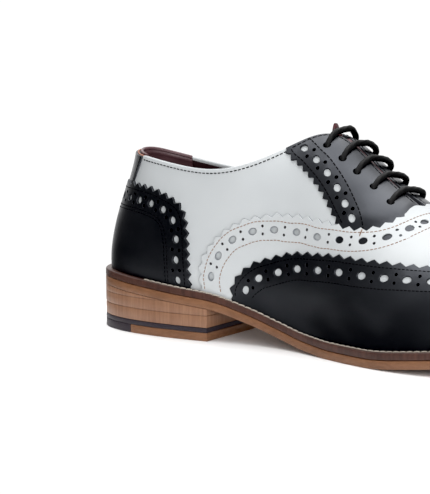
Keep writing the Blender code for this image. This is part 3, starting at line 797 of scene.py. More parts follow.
        # rim mark: 0.6 and 1 on cut edges and walls, the painted shade values on pits and hole floors
        rim = np.zeros(total)
        for side in sides:
            rim[numberOf[side][:count]] = pits
        rim[pairs[:, 0]] = 0.6
        rim[pairs[:, 2]] = 1
        faces = [face.tolist() for groups in facesOut for group in groups for face in group]
        print(self.name, len(faces), "faces")
        return makePiece(self.name, points, faces, finish, slot, normals, rim, stands)


def ease(values, start, end):
    share = np.clip((np.asarray(values, float) - start) / (end - start), 0, 1)
    return share * share * (3 - 2 * share)


# stitches: little capsules that dip into the leather at both ends, gathered for each thread
class Thread:
    rings = np.array([-0.5, -0.36, 0.0, 0.36, 0.5])
    humps = np.array([-1.1, -0.1, 0.25, -0.1, -1.1])
    girths = np.array([0.55, 1.0, 1.0, 1.0, 0.55])
    sides = 6

    def __init__(self):
        self.points, self.faces, self.count = [], [], 0

    def sew(self, path, normals, pitch, length, radius, slant=0.0):
        # path: points in millimetres along the line
        arcs = np.r_[0, np.cumsum(np.linalg.norm(np.diff(path, axis=0), axis=1))]
        number = max(1, int(arcs[-1] / pitch))
        spots = (np.arange(number) + 0.5) * arcs[-1] / number
        centre, up, ahead, behind = (
            np.column_stack([np.interp(where, arcs, rows[:, k]) for k in range(3)])
            for where, rows in ((spots, path), (spots, normals), (spots + 0.4, path), (spots - 0.4, path)))
        along = unit(ahead - behind)
        up = unit(up - along * (up * along).sum(1)[:, None])
        aside = np.cross(up, along)
        along = unit(along + aside * slant)
        aside = np.cross(up, along)
        turns = np.arange(self.sides) * 2 * pi / self.sides
        rise = radius * (self.humps[:, None] + self.girths[:, None] * np.cos(turns))
        wide = radius * self.girths[:, None] * np.sin(turns)
        run = np.broadcast_to(self.rings[:, None] * length, rise.shape)
        moves = ((run, along), (rise, up), (wide, aside))
        made = centre[:, None, None] + sum(part[None, :, :, None] * way[:, None, None] for part, way in moves)
        self.points.append(made.reshape(-1, 3))
        per = len(self.rings) * self.sides
        faces = []
        for k in range(len(self.rings) - 1):
            for j in range(self.sides):
                a, b = k * self.sides + j, k * self.sides + (j + 1) % self.sides
                faces.append([a, a + self.sides, b + self.sides, b])
        caps = [list(range(self.sides)), list(range(per - 1, per - 1 - self.sides, -1))]
        for k in range(number):
            base = self.count + k * per
            self.faces += [[corner + base for corner in face] for face in faces + caps]
        self.count += number * per

    def seam(self, line, lift, pitch=2.3, length=1.9, radius=0.27, sides=(-1, 1),
             throatEnd=build["throatEnd"]):
        for side in sides:
            places = around(line[:, 0], side)
            lifts = lift(line) if callable(lift) else lift
            path = lay(places, line[:, 1], lifts, throatEnd)
            self.sew(path, lastNormal(places, line[:, 1]), pitch, length, radius)

    def make(self, name, finish, slot):
        points = np.concatenate(self.points)
        print(name, len(self.faces), "faces")
        return makePiece(name, points, self.faces, finish, slot)


threads = {name: Thread() for name in ("black", "tan", "ivory")}

# pattern lines, in stations along the shoe and shares up its sides
low = -0.008
counterEdge = [
    (2.785, low), (2.785, 0.1), (2.78, 0.25), (2.77, 0.40), (2.72, 0.57), (2.6, 0.675), (2.33, 0.727),
    (2.0, 0.75), (1.0, 0.735), (0.0, 0.715)]
vampEdge = [
    (2.985, low), (2.98, 0.1), (3.0, 0.20), (3.15, 0.34), (3.4, 0.47), (3.67, 0.544), (3.99, 0.576),
    (4.63, 0.552), (5.28, 0.502), (5.96, 0.48), (6.64, 0.512), (7.3, 0.584), (7.64, 0.662), (7.81, 0.728),
    (7.93, 0.804), (7.955, 0.854)]
vampStitch = [
    (3.06, 0.0), (3.05, 0.10), (3.09, 0.18), (3.16, 0.27), (3.29, 0.37), (3.49, 0.47), (3.67, 0.514),
    (4.12, 0.546), (4.69, 0.514), (5.37, 0.464), (6.06, 0.452), (6.80, 0.504), (7.31, 0.568), (7.70, 0.642),
    (7.965, 0.734), (8.13, 0.85), (8.25, 1.0)]
vampTab = [(7.955, 0.854), (7.945, 0.902), (7.945, 0.942), (7.97, 0.972), (8.03, 1.0)]
wingEdge = [
    (3.585, low), (3.585, 0.05), (3.75, 0.18), (4.29, 0.298), (4.98, 0.326), (5.98, 0.34), (6.98, 0.406),
    (7.99, 0.492), (8.8, 0.572), (9.33, 0.64), (9.67, 0.70), (10.0, 0.778)]
wingPeak = [(10.0, 0.778), (9.67, 0.90), (9.45, 1.0)]
facingRear = [
    (4.66, 1.0), (4.7, 0.97), (4.88, 0.884), (5.18, 0.792), (5.57, 0.696), (5.93, 0.634), (6.28, 0.584),
    (6.72, 0.516)]
facingFront = [
    (5.18, 0.985), (5.26, 0.97), (5.46, 0.908), (5.80, 0.826), (6.23, 0.772), (6.66, 0.728), (6.93, 0.69),
    (7.16, 0.646), (7.3, 0.594), (7.33, 0.574)]
facingHidden = [
    (6.72, 0.516), (6.64, 0.45), (6.88, 0.426), (7.44, 0.466), (7.94, 0.55), (8.29, 0.65), (8.49, 0.77),
    (8.48, 0.89), (8.34, 0.955), (8.23, 0.982), (8.2, 1.0)]
vampHidden = [
    (4.15, low), (4.3, 0.10), (5.0, 0.17), (6.0, 0.195), (7.0, 0.26), (8.0, 0.34), (8.8, 0.41), (9.4, 0.49),
    (9.9, 0.60), (10.3, 0.73), (10.5, 0.88), (10.5, 1.0)]
wingTop = steadyCurve(wingEdge[1:])
vampTop = steadyCurve(vampEdge[2:] + [(8.03, 1.0)])

# rings of a hole with a floor: share of the radius, depth, painted shade
holes = {
    "large": 2.25, "small": 0.95, "largeSides": 22, "smallSides": 10, "pairOut": 2.35,
    "stretch": (1.18, 0.87),  # longer along the row
    # pricks: their bottoms painted matte and dark as shade
    "prick": [(1.12, 0, 0), (1, 0.2, 1.5), (0.88, 0.95, 2), (0, 1.0, 2)],
    # holes onto the same white leather: their floors painted grey as shade, darker towards the rim
    "paintedShadeFloor": [(1.05, 0, 0), (1, 0.25, 0.95), (0.95, 1.05, 0.85), (0.62, 1.1, 0.57), (0, 1.1, 0.5)],
}
rowFoot = 0.012  # share at which stitches come up from the welt


def trimmed(row, ridge):
    return row[(row[:, 1] > rowFoot) & (row[:, 1] < ridge)]


def holePlaces(rows):
    # lengths along the row for every hole, from a few of them
    return steadyCurve(rows)(np.arange(rows[-1][0] + 1))


def rolledLow(edgeDepth):
    # the under face, which turns down over the wall at the top line
    return lambda spots: np.where(spots[:, 1] > 0.995, edgeDepth, 0.05)


def punch(panel, seam, arcs, left, pairOut=holes["pairOut"], small=holes["small"], first=0, floored=0,
          stretch=holes["stretch"]):
    # large holes in a row, with a pair of pricks between each two
    for number, arc in enumerate(arcs[first:]):
        floor = holes["paintedShadeFloor"] if number < floored else None
        panel.hole(seam, arc, left, holes["large"], holes["largeSides"], floor, stretch)
    for one, two in zip(arcs, arcs[1:]):
        for out in (-pairOut, pairOut):
            panel.hole(seam, (one + two) / 2, left + out, small, holes["smallSides"], holes["prick"])


# wing cap
wing = {
    "soft": 0.32, "grid": 2.8, "ridgeFrom": 9.45, "face": lambda spots: 2.0, "low": lambda spots: 0.98,
    "toothPitch": 7.4, "toothDepth": 2.1, "holeRow": 8.4, "toeHoles": 4, "threadLift": 1.86, "ridge": 0.985,
    "stitch": 2.9, "stitchTrim": (3.5, 1), "peakTrim": (5, 1), "innerStitch": 14.3, "innerTrim": (11, 15),
    "holeArcs": [(0, 12.9), (3, 59.3), (6, 106.5), (8, 133.0), (11, 172.0)],
    "toeRow": [(9.874, 0.611), (10.2, 0.685), (10.37, 0.775), (10.3, 0.86), (10.1, 0.94)],
    "toeStitch": [
        (9.65, 0.485), (9.94, 0.53), (10.2, 0.585), (10.46, 0.665), (10.6, 0.76), (10.58, 0.86),
        (10.42, 0.95), (10.34, 1.0)],
}


def makeWing():
    edge, peak = Seam(wingEdge), Seam(wingPeak)
    panel = Panel("wing", wing)
    front = edge.pinked(0, edge.length, wing["toothPitch"], wing["toothDepth"])
    crest = peak.pinked(0, peak.length, wing["toothPitch"], wing["toothDepth"])
    front[0] = wingEdge[0]
    front[-1] = crest[0] = wingPeak[0]
    crest[-1] = wingPeak[-1]
    panel.outline([
        (openLine([wingEdge[0], (toe, low)]), True), (openLine([(toe, low), (toe, 1)]), False),
        (openLine([(toe, 1), wingPeak[-1]]), False), (crest[::-1], True), (front[::-1], True)])
    toeRow = Seam(wing["toeRow"])
    punch(panel, edge, holePlaces(wing["holeArcs"]), -wing["holeRow"])
    punch(panel, toeRow, np.linspace(0, toeRow.length, wing["toeHoles"]), 0, first=1)
    rows = [
        edge.row(-wing["stitch"], *wing["stitchTrim"]), peak.row(-wing["stitch"], *wing["peakTrim"]),
        edge.row(-wing["innerStitch"], *wing["innerTrim"]), Seam(wing["toeStitch"]).row()]
    for row in rows:
        row = trimmed(row, wing["ridge"])
        panel.groove(row)
        threads["black"].seam(row, wing["threadLift"])
    panel.make(finishes["black"], "black_calf", ["wing_cap"])


# vamp
vamp = {
    "soft": 0.28, "grid": 2.8, "ridgeFrom": 8.03, "throatEnd": 8.03, "toothPitch": 6.9, "toothDepth": 2.2,
    "holeRow": 4.7, "pairOut": 2.1, "small": 0.8, "floored": 7, "wingFrom": 3.6, "ridge": 0.99,
    "holeArcs": [(0, 10.4), (4, 69.5), (8, 128.2), (11, 160.2)], "top": 1.4, "underWing": 0.95,
    "innerStitch": 10.2, "innerTrim": 9, "innerStep": 6.0, "innerEnd": (8.62, 1.0),
    "groove": (0.45, 0.2), "threadSunk": 0.12, "threadRadius": 0.25,
    "tack": [(7.31, 0.59), (7.3, 0.565), (7.29, 0.54)], "tackLift": 0.1,
    "tackSize": {"pitch": 4.0, "length": 4.4, "radius": 0.3},
}


def vampFace(spots):
    # thinner under the wing cap
    above = (spots[:, 1] - wingTop(spots[:, 0])) * pattern["bandShare"]
    above = np.where(spots[:, 0] < vamp["wingFrom"], 99, above)
    return vamp["underWing"] + (vamp["top"] - vamp["underWing"]) * ease(above, -1, 6)


def makeVamp():
    edge, line = Seam(vampEdge), Seam(vampStitch)
    panel = Panel("vampBand", {**vamp, "face": vampFace, "low": lambda spots: 0.06})
    rear = edge.pinked(0, edge.length, vamp["toothPitch"], vamp["toothDepth"])
    rear[0], rear[-1] = vampEdge[0], vampEdge[-1]
    panel.outline([
        (openLine([vampEdge[0], vampHidden[0]]), True), (openLine(vampHidden, 3.5), True),
        (openLine([vampHidden[-1], vampTab[-1]]), False), (openLine(vampTab[::-1], 0.8), True),
        (rear[::-1], True)])
    punch(panel, line, holePlaces(vamp["holeArcs"]), -vamp["holeRow"], vamp["pairOut"], vamp["small"],
          floored=vamp["floored"])
    beside = line.row(-vamp["innerStitch"], 0, vamp["innerTrim"], vamp["innerStep"])
    for seam in (line, Seam([*beside, vamp["innerEnd"]])):
        row = trimmed(seam.row(), vamp["ridge"])
        panel.groove(row, *vamp["groove"])
        threads["tan"].seam(
            row, lambda spots: vampFace(spots) - vamp["threadSunk"], radius=vamp["threadRadius"],
            throatEnd=vamp["throatEnd"])
    threads["tan"].seam(np.array(vamp["tack"]), vamp["top"] + vamp["tackLift"], **vamp["tackSize"])
    panel.make(finishes["white"], "white_calf", ["vamp"])


# facings
facing = {
    "soft": 0.28, "grid": 2.6, "toothPitch": 5.6, "toothDepth": 2.3, "stitch": 2.7, "stitchTrim": 2.2,
    "topStitch": 1.9, "topLine": [(4.77, 1.0), (5.5, 1.0), (6.5, 1.0), (7.5, 1.0), (7.88, 1.0)],
    "top": 1.4, "underVamp": 0.5, "edgeDepth": -1.95, "firstHole": 9.5, "holePitch": 10.2, "holeCount": 6,
    "holeRow": 8.6, "pairOut": 2.6, "small": 1.1, "eyeletRadius": 2.05, "eyeletSides": 18,
    "eyelets": [(5.87, 0.871), (6.35, 0.835), (6.73, 0.837), (7.15, 0.847), (7.59, 0.843)],
    "groove": (0.5, 0.32), "threadSunk": 0.18, "thread": {"pitch": 3.0, "length": 2.7, "radius": 0.38},
}


def facingFace(spots):
    # thinner under the vamp
    above = (spots[:, 1] - vampTop(spots[:, 0])) * pattern["bandShare"]
    return facing["underVamp"] + (facing["top"] - facing["underVamp"]) * ease(above, -1, 7)


def makeFacing(name, side, node):
    edge = Seam(facingRear)
    panel = Panel(name, {**facing, "face": facingFace, "low": rolledLow(facing["edgeDepth"])})
    rear = edge.pinked(0, edge.length, facing["toothPitch"], facing["toothDepth"])
    rear[0], rear[-1] = facingRear[0], facingRear[-1]
    throat = openLine([facingHidden[-1], facingRear[0]], 1.6)
    panel.outline([(rear, True), (openLine(facingHidden, 2.5), True), (throat, True)])
    arcs = facing["firstHole"] + facing["holePitch"] * np.arange(facing["holeCount"])
    punch(panel, edge, arcs, facing["holeRow"], facing["pairOut"], facing["small"])
    for eyelet in facing["eyelets"]:
        spot = np.array([eyelet])
        along = unit(lastSteps(spot[:, 0], spot[:, 1])[0])[0]
        aside = np.cross(lastNormal(spot[:, 0], spot[:, 1])[0], along)
        panel.holeAt(spot[0], along, aside, facing["eyeletRadius"], facing["eyeletSides"])
    fine = spacing["fineRow"]
    rows = [
        edge.row(facing["stitch"], facing["stitchTrim"], step=fine), Seam(facingFront).row(step=fine),
        Seam(facing["topLine"]).row(-facing["topStitch"], step=fine)]
    for row in rows:
        panel.groove(row, *facing["groove"])
        threads["black"].seam(
            row, lambda spots: facingFace(spots) - facing["threadSunk"], sides=(side,), **facing["thread"])
    panel.make(finishes["black"], "black_calf", [node], (side,))


# heel counter and back strip
counter = {
    "soft": 0.3, "grid": 2.8, "toothPitch": 5.7, "toothDepth": 2.4, "stitch": 2.9, "stitchTrim": (2.5, 1),
    "innerGap": 1.8, "innerTrim": (0, 1), "backGap": 0.04, "top": 1.6, "threadSunk": 0.14,
    "stretch": (0.95, 0.88), "holeArcs": [(0, 3.5), (3, 37.0), (4, 46.3), (9, 95.6)],
}
counterInner = [
    (2.42, 0.0), (2.425, 0.12), (2.42, 0.27), (2.39, 0.39), (2.33, 0.475), (2.25, 0.515), (2.09, 0.54),
    (1.82, 0.552), (1.4, 0.548), (0.8, 0.54), (0.0, 0.53)]
counterRow = [
    (2.59, 0.0), (2.57, 0.177), (2.58, 0.355), (2.55, 0.47), (2.49, 0.545), (2.33, 0.598), (2.07, 0.622),
    (1.6, 0.625), (1.0, 0.618), (0.0, 0.60)]
strip = {
    "soft": 0.25, "grid": 2.4, "halfTop": 1.62, "halfFoot": 1.36, "foot": 0.70, "top": 0.85,
    "edgeDepth": -1.9, "stitch": 1.5, "groove": (0.4, 0.2), "threadSunk": 0.12, "threadRadius": 0.24,
}


def makeCounter():
    edge = Seam(counterEdge)
    panel = Panel("counter", {**counter, "face": lambda spots: counter["top"], "low": lambda spots: 0.05})
    front = edge.pinked(0, edge.length, counter["toothPitch"], counter["toothDepth"])
    front[0], front[-1] = counterEdge[0], counterEdge[-1]
    panel.outline([
        (openLine([(0, low), counterEdge[0]]), True), (front, True),
        (openLine([counterEdge[-1], (0, low)]), False)])
    arcs = holePlaces(counter["holeArcs"])
    punch(panel, Seam(counterRow), arcs, 0, stretch=counter["stretch"])
    inner = Seam(counterInner)
    rows = [edge.row(counter["stitch"], *counter["stitchTrim"])]
    rows += [inner.row(left, *counter["innerTrim"]) for left in (0, counter["innerGap"])]
    for row in rows:
        row = trimmed(row, 1)
        row = row[row[:, 0] > counter["backGap"]]
        panel.groove(row)
        threads["black"].seam(row, counter["top"] - counter["threadSunk"])
    panel.make(finishes["black"], "black_calf", ["heel_counter"])


def makeStrip():
    foot = strip["foot"]
    corner, crest = (strip["halfFoot"], foot), (strip["halfTop"], 1)
    faces = {"face": lambda spots: strip["top"], "low": rolledLow(strip["edgeDepth"])}
    panel = Panel("backStrip", {**strip, **faces})
    panel.outline([
        (openLine([(0, foot), corner]), True), (openLine([corner, crest]), True),
        (openLine([crest, (0, 1)]), True), (openLine([(0, 1), (0, foot)]), False)])
    row = Seam([corner, crest]).row(strip["stitch"], step=spacing["fineRow"])
    panel.groove(row, *strip["groove"])
    threads["black"].seam(row, strip["top"] - strip["threadSunk"], radius=strip["threadRadius"])
    panel.make(finishes["black"], "black_calf", ["back_strip"])


def loft(sections, closedAlong=False):
    # quads between closed sections with the same number of points
    count, size = len(sections), len(sections[0])
    faces = []
    for k in range(count if closedAlong else count - 1):
        following = (k + 1) % count
        for j in range(size):
            i = (j + 1) % size
            faces.append([k * size + j, following * size + j, following * size + i, k * size + i])
    if not closedAlong:
        faces.append(list(range(size)))
        faces.append(list(range(count * size - 1, (count - 1) * size - 1, -1)))
    return np.concatenate(sections), faces


# quarters, lining and heel patch
quarter = {
    "wall": 1.7, "rimSteps": 6, "rows": 26, "stitch": 1.6, "end": 8.24, "columns": 190, "threadLift": 0.03,
    "thread": {"pitch": 2.5, "length": 2.1, "radius": 0.3},
    "collar": [(1.66, 1.0), (2.4, 1.0), (3.4, 1.0), (4.67, 1.0)],
}
quarterTop = steadyCurve([
    (0, 0.975), (1.5, 0.975), (1.66, 1), (4.62, 1), (4.68, 1), (4.86, 0.95), (5.3, 0.93), (5.6, 0.82),
    (6.1, 0.78), (8.3, 0.78)])


def quarterSection(place):
    # up the outer face, over a round rim, down the inner face
    radius = quarter["wall"] / 2
    top = float(quarterTop(abs(place)))
    shares = np.linspace(low, top, quarter["rows"])
    spot = np.full(len(shares), place % loop)
    outer = lay(spot, shares, 0.0)
    inner = lay(spot[::-1], shares[::-1], -quarter["wall"])
    centre = lay(spot[:1], np.array([top]), -radius)[0]
    across = unit(outer[-1] - centre)
    rise = unit(outer[-1] - outer[-2])
    rise = unit(rise - across * (rise @ across))
    turns = np.linspace(0, pi, quarter["rimSteps"] + 2)[1:-1]
    rim = centre + radius * (np.cos(turns)[:, None] * across + np.sin(turns)[:, None] * rise)
    return np.concatenate([outer, rim, inner])


def makeQuarter():
    stations = np.linspace(-quarter["end"], quarter["end"], quarter["columns"])
    points, faces = loft([quarterSection(place) for place in stations])
    rim = np.zeros(len(points))
    makePiece("quarters", points, faces, finishes["white"], "white_calf", rim=rim, stands=["upper"])
    row = Seam(quarter["collar"]).row(-quarter["stitch"], step=spacing["fineRow"])
    threads["black"].seam(row, quarter["threadLift"], **quarter["thread"])


lining = {"lift": -1.72, "wall": 0.55, "columns": 220, "rows": 24}
liningTop = steadyCurve([(0, 0.985), (4.6, 0.985), (5.0, 0.985), (8.0, 0.985), (8.25, 1.0), (12, 1.0)])


def makeLining():
    stations = np.linspace(0, loop, lining["columns"], endpoint=False)
    sections = []
    for place in stations:
        station = min(place, loop - place)
        shares = np.linspace(low, float(liningTop(station)), lining["rows"])
        spot = np.full(len(shares), place)
        outer, inner = (lay(spot, shares, lining["lift"] - depth) for depth in (0, lining["wall"]))
        sections.append(np.concatenate([outer, inner[::-1]]))
    points, faces = loft(sections, True)
    makePiece("lining", points, faces, finishes["lining"], "lining_leather")


patch = {
    "medial": 1.6, "lateral": 1.84, "foot": 0.72, "back": -2.3, "front": -3.0, "columns": 60,
    "head": 0.95, "rows": 8, "tapeEnds": (-1.58, 1.6), "tapeColumns": 50,
    "roll": [
        (-2.1, 0.2), (-1.7, 1.0), (-1.8, 1.65), (-2.25, 2.0), (-2.85, 1.85), (-3.3, 1.3), (-3.35, 0.7),
        (-3.0, 0.2), (-3.3, -0.35), (-3.5, -1.0), (-3.4, -1.7), (-3.1, -2.3)],
    "tape": [(-0.6 + 0.5 * cos(k * pi / 4), 0.25 + 0.5 * sin(k * pi / 4)) for k in range(8)],
}


def collarProfile(place, profile):
    # points given outwards and upwards from the collar's edge
    spot, edge = np.array([place % loop]), np.array([1.0])
    base = lastSurface(spot, edge)[0]
    across = lastNormal(spot, edge)[0]
    rise = base - lastSurface(spot, edge - 0.01)[0]
    rise = unit(rise - across * (rise @ across))
    return np.array([base + across * out + rise * up for out, up in profile])


def makeHeelPatch():
    stations = np.linspace(-patch["lateral"], patch["medial"], patch["columns"])
    shares = np.linspace(patch["foot"], patch["head"], patch["rows"])
    sections = []
    for place in stations:
        spot = np.full(len(shares), place % loop)
        back, front = (lay(spot, shares, patch[side]) for side in ("back", "front"))
        sections.append(np.concatenate([back, collarProfile(place, patch["roll"]), front[::-1]]))
    points, faces = loft(sections)
    makePiece("heelPatch", points, faces, finishes["patch"], "lining_leather")
    stations = np.linspace(*patch["tapeEnds"], patch["tapeColumns"])
    points, faces = loft([collarProfile(place, patch["tape"]) for place in stations])
    makePiece("collarTape", points, faces, finishes["tape"], "sole_leather")


# tongue
tongue = {
    "top": 5.75, "bottom": 8.2, "depth": 2.35, "wall": 1.6, "level": 6.0, "proud": 41.0, "swell": 3.8,
    "swellIn": (5.9, 6.2), "swellOut": (8.1, 7.1), "sideShare": 0.80, "rows": 60, "sideRows": 8,
    "crownRows": 11,
}


def makeTongue():
    sections = []
    shares = np.linspace(tongue["sideShare"], 1, tongue["sideRows"])
    crown = np.linspace(0, 1, tongue["crownRows"])[1:-1]
    for station in np.linspace(tongue["top"], tongue["bottom"], tongue["rows"]):
        layers = []
        for depth in (tongue["depth"], tongue["depth"] + tongue["wall"]):
            near, far = (
                lay(np.full(len(shares), float(around(station, side))), shares, -depth) for side in (-1, 1))
            slopes = [abs((rows[-1] - rows[-2])[2] / (rows[-1] - rows[-2])[1]) for rows in (near, far)]
            span = abs(far[-1][1] - near[-1][1])
            rise = span * sum(slopes) / 8 + tongue["proud"] * max(0, tongue["level"] - station)
            arch = near[-1] + (far[-1] - near[-1]) * crown[:, None]
            swell = tongue["swell"] * ease(station, *tongue["swellIn"]) * ease(station, *tongue["swellOut"])
            arch[:, 2] += (1 - (2 * crown - 1) ** 4) * (rise * 0.85 + swell * (0.55 + 0.9 * crown))
            layers.append(np.concatenate([near, arch, far[::-1]]))
        sections.append(np.concatenate([layers[0], layers[1][::-1]]))
    points, faces = loft(sections)
    makePiece("tongueSheet", points, faces, finishes["tongue"], "black_calf", stands=["tongue"])


# laces: five bars that dip into the eyelets
lace = {
    "radius": 1.75, "sides": 20, "seat": -0.25, "dip": 2.4, "ridges": 5, "ridgeDepth": 0.05, "turnPitch": 7.0,
    "spacing": 0.45, "arches": (2.5, 2.3, 2.3, 2.1, 1.0),
}


def laceTube(path):
    runs = unit(np.gradient(path, axis=0))
    arcs = np.r_[0, np.cumsum(np.linalg.norm(np.diff(path, axis=0), axis=1))]
    one = unit(np.cross(runs, (1, 0, 0)))
    two = np.cross(runs, one)
    turns = np.arange(lace["sides"]) * 2 * pi / lace["sides"]
    sections = []
    for k in range(len(path)):
        twist = lace["ridges"] * turns + 2 * pi * arcs[k] / lace["turnPitch"]
        girth = lace["radius"] * (1 + lace["ridgeDepth"] * np.sin(twist))
        sections.append(
            path[k] + girth[:, None] * (np.cos(turns)[:, None] * one[k] + np.sin(turns)[:, None] * two[k]))
    return loft(sections)


def smoothPath(spots, step):
    spots = np.array(spots)
    chord = np.r_[0, np.cumsum(np.linalg.norm(np.diff(spots, axis=0), axis=1))]
    reads = [steadyCurve(zip(chord, spots[:, k])) for k in range(3)]
    fine = np.linspace(0, chord[-1], int(chord[-1] / step))
    path = np.column_stack([read(fine) for read in reads])
    for _ in range(3):
        path[1:-1] = (path[:-2] + 2 * path[1:-1] + path[2:]) / 4
    return path


def makeLace(number, eyelet):
    # from the near eyelet straight up to a loose crown by the far edge, then down into the far eyelet
    seat = facing["top"] + lace["radius"] + lace["seat"]
    arch = lace["arches"][number - 1]
    station, hole = eyelet
    near = [(hole, -lace["dip"]), (hole, -0.3), (hole + 0.03, 0.9), (hole + 0.065, 2.0), (1.0, seat + 0.1)]
    far = [
        (hole, -lace["dip"]), (hole, 0.4), (hole + 0.01, seat - 0.2), (0.93, seat + arch * 0.75),
        (0.985, seat + arch)]
    ends = []
    for side, rows in ((-1, near), (1, far)):
        shares, lifts = np.array(rows).T
        ends.append(lay(np.full(len(rows), float(around(station, side))), shares, lifts))
    points, faces = laceTube(smoothPath([*ends[0], *ends[1][::-1]], lace["spacing"]))
    makePiece(f"lace{number}", points, faces, finishes["lace"], "lace_cotton", stands=[f"lace_bar_{number}"])


# sole and heel
sole = {
    "round": 0.45, "weltRound": 0.9, "weltEase": 0.25, "weltDip": 0.12, "weltIn": 2.1, "breastX": 80.0,
    "grid": 5.0, "insoleInset": 7.6, "insoleRise": 2.0, "insoleRound": 0.4,
}
heel = {
    "topPiece": 4.6, "lift4": 7.4, "lift3": 14.1, "lift2": 20.3, "wedgeEnd": 50.5, "rubberEnd": 27.5,
    "round": 0.22, "wedgeRound": 0.05,
}


def stationAt(x):
    steps = np.linspace(0, toe, 4000)
    return float(np.interp(x, edgeX(steps), steps))


def planOutline(start, end, columns=120):
    # medial edge forwards, lateral edge back, straight across at an open end
    stations = np.linspace(start, end, columns)
    medial = soleEdge(stations, np.zeros(columns))
    lateral = soleEdge(loop - stations, np.zeros(columns))[::-1]
    plan = np.concatenate([medial, lateral])
    keep = [0]
    for k in range(1, len(plan)):
        if np.linalg.norm(plan[k] - plan[keep[-1]]) > 0.05 and np.linalg.norm(plan[k] - plan[0]) > 0.05:
            keep.append(k)
    plan = plan[keep]
    fine = []
    for a, b in zip(plan, np.roll(plan, -1, 0)):
        parts = max(1, int(np.linalg.norm(b - a) / 6))
        fine += [a + (b - a) * part / parts for part in range(parts)]
    return np.array(fine)


def insetPlan(plan, amount):
    runs = unit(np.roll(plan, -1, 0) - plan)
    before = np.roll(runs, 1, 0)
    leftBefore, leftAfter = (np.column_stack([-way[:, 1], way[:, 0]]) for way in (before, runs))
    inward = unit(leftBefore + leftAfter)
    return plan + inward * (np.asarray(amount) / np.maximum(0.5, (inward * leftAfter).sum(1)))[:, None]


def board(name, plan, rings, finish, slot, stands):
    # rings from bottom to top, each an inset and a height
    count = len(plan)
    layers = []
    for inset, height in rings:
        outline = insetPlan(plan, inset)
        layers.append(np.column_stack([outline, height(outline[:, 0])]))
    points = [np.concatenate(layers)]
    faces = []
    for k in range(len(rings) - 1):
        for j in range(count):
            i = (j + 1) % count
            faces.append([k * count + j, k * count + i, (k + 1) * count + i, (k + 1) * count + j])
    total = count * len(rings)
    for layer, height, flip in ((0, rings[0][1], True), (len(rings) - 1, rings[-1][1], False)):
        outline = layers[layer][:, :2]
        lowCorner, highCorner = outline.min(0), outline.max(0)
        grid = np.stack(np.meshgrid(
            np.arange(lowCorner[0], highCorner[0], sole["grid"]),
            np.arange(lowCorner[1], highCorner[1], sole["grid"]), indexing="ij"), -1).reshape(-1, 2)
        grid = grid[insideOutline(outline, grid)]
        grid = grid[[np.linalg.norm(outline - spot, axis=1).min() > sole["grid"] * 0.4 for spot in grid]]
        verts, _, tris, origins, _, _ = delaunay_2d_cdt(
            [tuple(spot) for spot in np.concatenate([outline, grid])],
            [(k, (k + 1) % count) for k in range(count)], [], 1, 1e-6)
        spots = np.array([tuple(vert) for vert in verts])
        numbers = np.zeros(len(spots), int)
        fresh = []
        for k, origin in enumerate(origins):
            if origin and origin[0] < count:
                numbers[k] = layer * count + origin[0]
            else:
                numbers[k] = total + len(fresh)
                fresh.append(spots[k])
        if fresh:
            fresh = np.array(fresh)
            points.append(np.column_stack([fresh, height(fresh[:, 0])]))
            total += len(fresh)
        for tri in tris:
            corners = [int(numbers[k]) for k in tri]
            a, b, c = (spots[k] for k in tri)
            upward = (b[0] - a[0]) * (c[1] - a[1]) - (b[1] - a[1]) * (c[0] - a[0]) > 0
            faces.append(corners if upward != flip else corners[::-1])
    return makePiece(name, np.concatenate(points), faces, finish, slot, stands=stands)


def level(height):
    return lambda x: np.full(np.shape(x), float(height))


def aboveSole(height):
    return lambda x: soleBottom(x) + height


def softRings(bottom, top, radius):
    # a board with its edges eased
    part = radius * 0.3
    return [
        (radius, bottom), (part, lambda x: bottom(x) + part), (0, lambda x: bottom(x) + radius),
        (0, lambda x: top(x) - radius), (part, lambda x: top(x) - part), (radius, top)]


def makeOutsole():
    plan = planOutline(0, toe, 150)
    board("outsoleLeather", plan, softRings(aboveSole(0), aboveSole(build["outsole"]), sole["round"]),
          finishes["tan"], "sole_leather", ["outsole"])


def makeWelt():
    bottom = build["outsole"] + build["gap"]
    top = bottom + build["welt"]
    places = np.linspace(0, loop, 320, endpoint=False)
    margin = curves["margin"](places)
    turn = sole["weltRound"]
    arc = [(turn * (1 - sin(angle)), top - turn * (1 - cos(angle))) for angle in np.linspace(pi / 2, 0, 5)]
    inner = margin + sole["weltIn"]
    section = [
        (sole["weltEase"], bottom), (0, bottom + sole["weltEase"]), *arc,
        (margin * 0.6 + turn * 0.4, top - sole["weltDip"]), (inner, top), (inner, bottom)]
    rings = []
    for inset, height in section:
        plan = soleEdge(places, inset)
        rings.append(np.column_stack([plan, soleBottom(plan[:, 0]) + height]))
    sections = np.array(rings).transpose(1, 0, 2)
    points, faces = loft(list(sections), True)
    makePiece("weltRand", points, faces, finishes["welt"], "welt_leather", stands=["welt"])


weltStitch = {
    "start": 2.0, "beside": 2.75, "edge": 0.6, "rise": 0.2,
    "thread": {"pitch": 4.2, "length": 4.0, "radius": 0.35, "slant": 0.12},
}


def sewWelt():
    top = build["outsole"] + build["gap"] + build["welt"]
    places = np.linspace(weltStitch["start"], loop - weltStitch["start"], 900)
    inset = np.maximum(weltStitch["edge"], curves["margin"](places) - weltStitch["beside"])
    plan = soleEdge(places, inset)
    path = np.column_stack([plan, soleBottom(plan[:, 0]) + top + weltStitch["rise"]])
    normals = np.tile([0.0, 0.0, 1.0], (len(path), 1))
    threads["ivory"].sew(path, normals, **weltStitch["thread"])


def makeInsole():
    plan = insetPlan(planOutline(0, toe, 110), sole["insoleInset"])
    bottom = build["outsole"] + build["gap"]
    top = bottom + build["welt"] + sole["insoleRise"]
    board("insoleSock", plan, softRings(aboveSole(bottom), aboveSole(top), sole["insoleRound"]),
          finishes["patch"], "lining_leather", ["insole"])


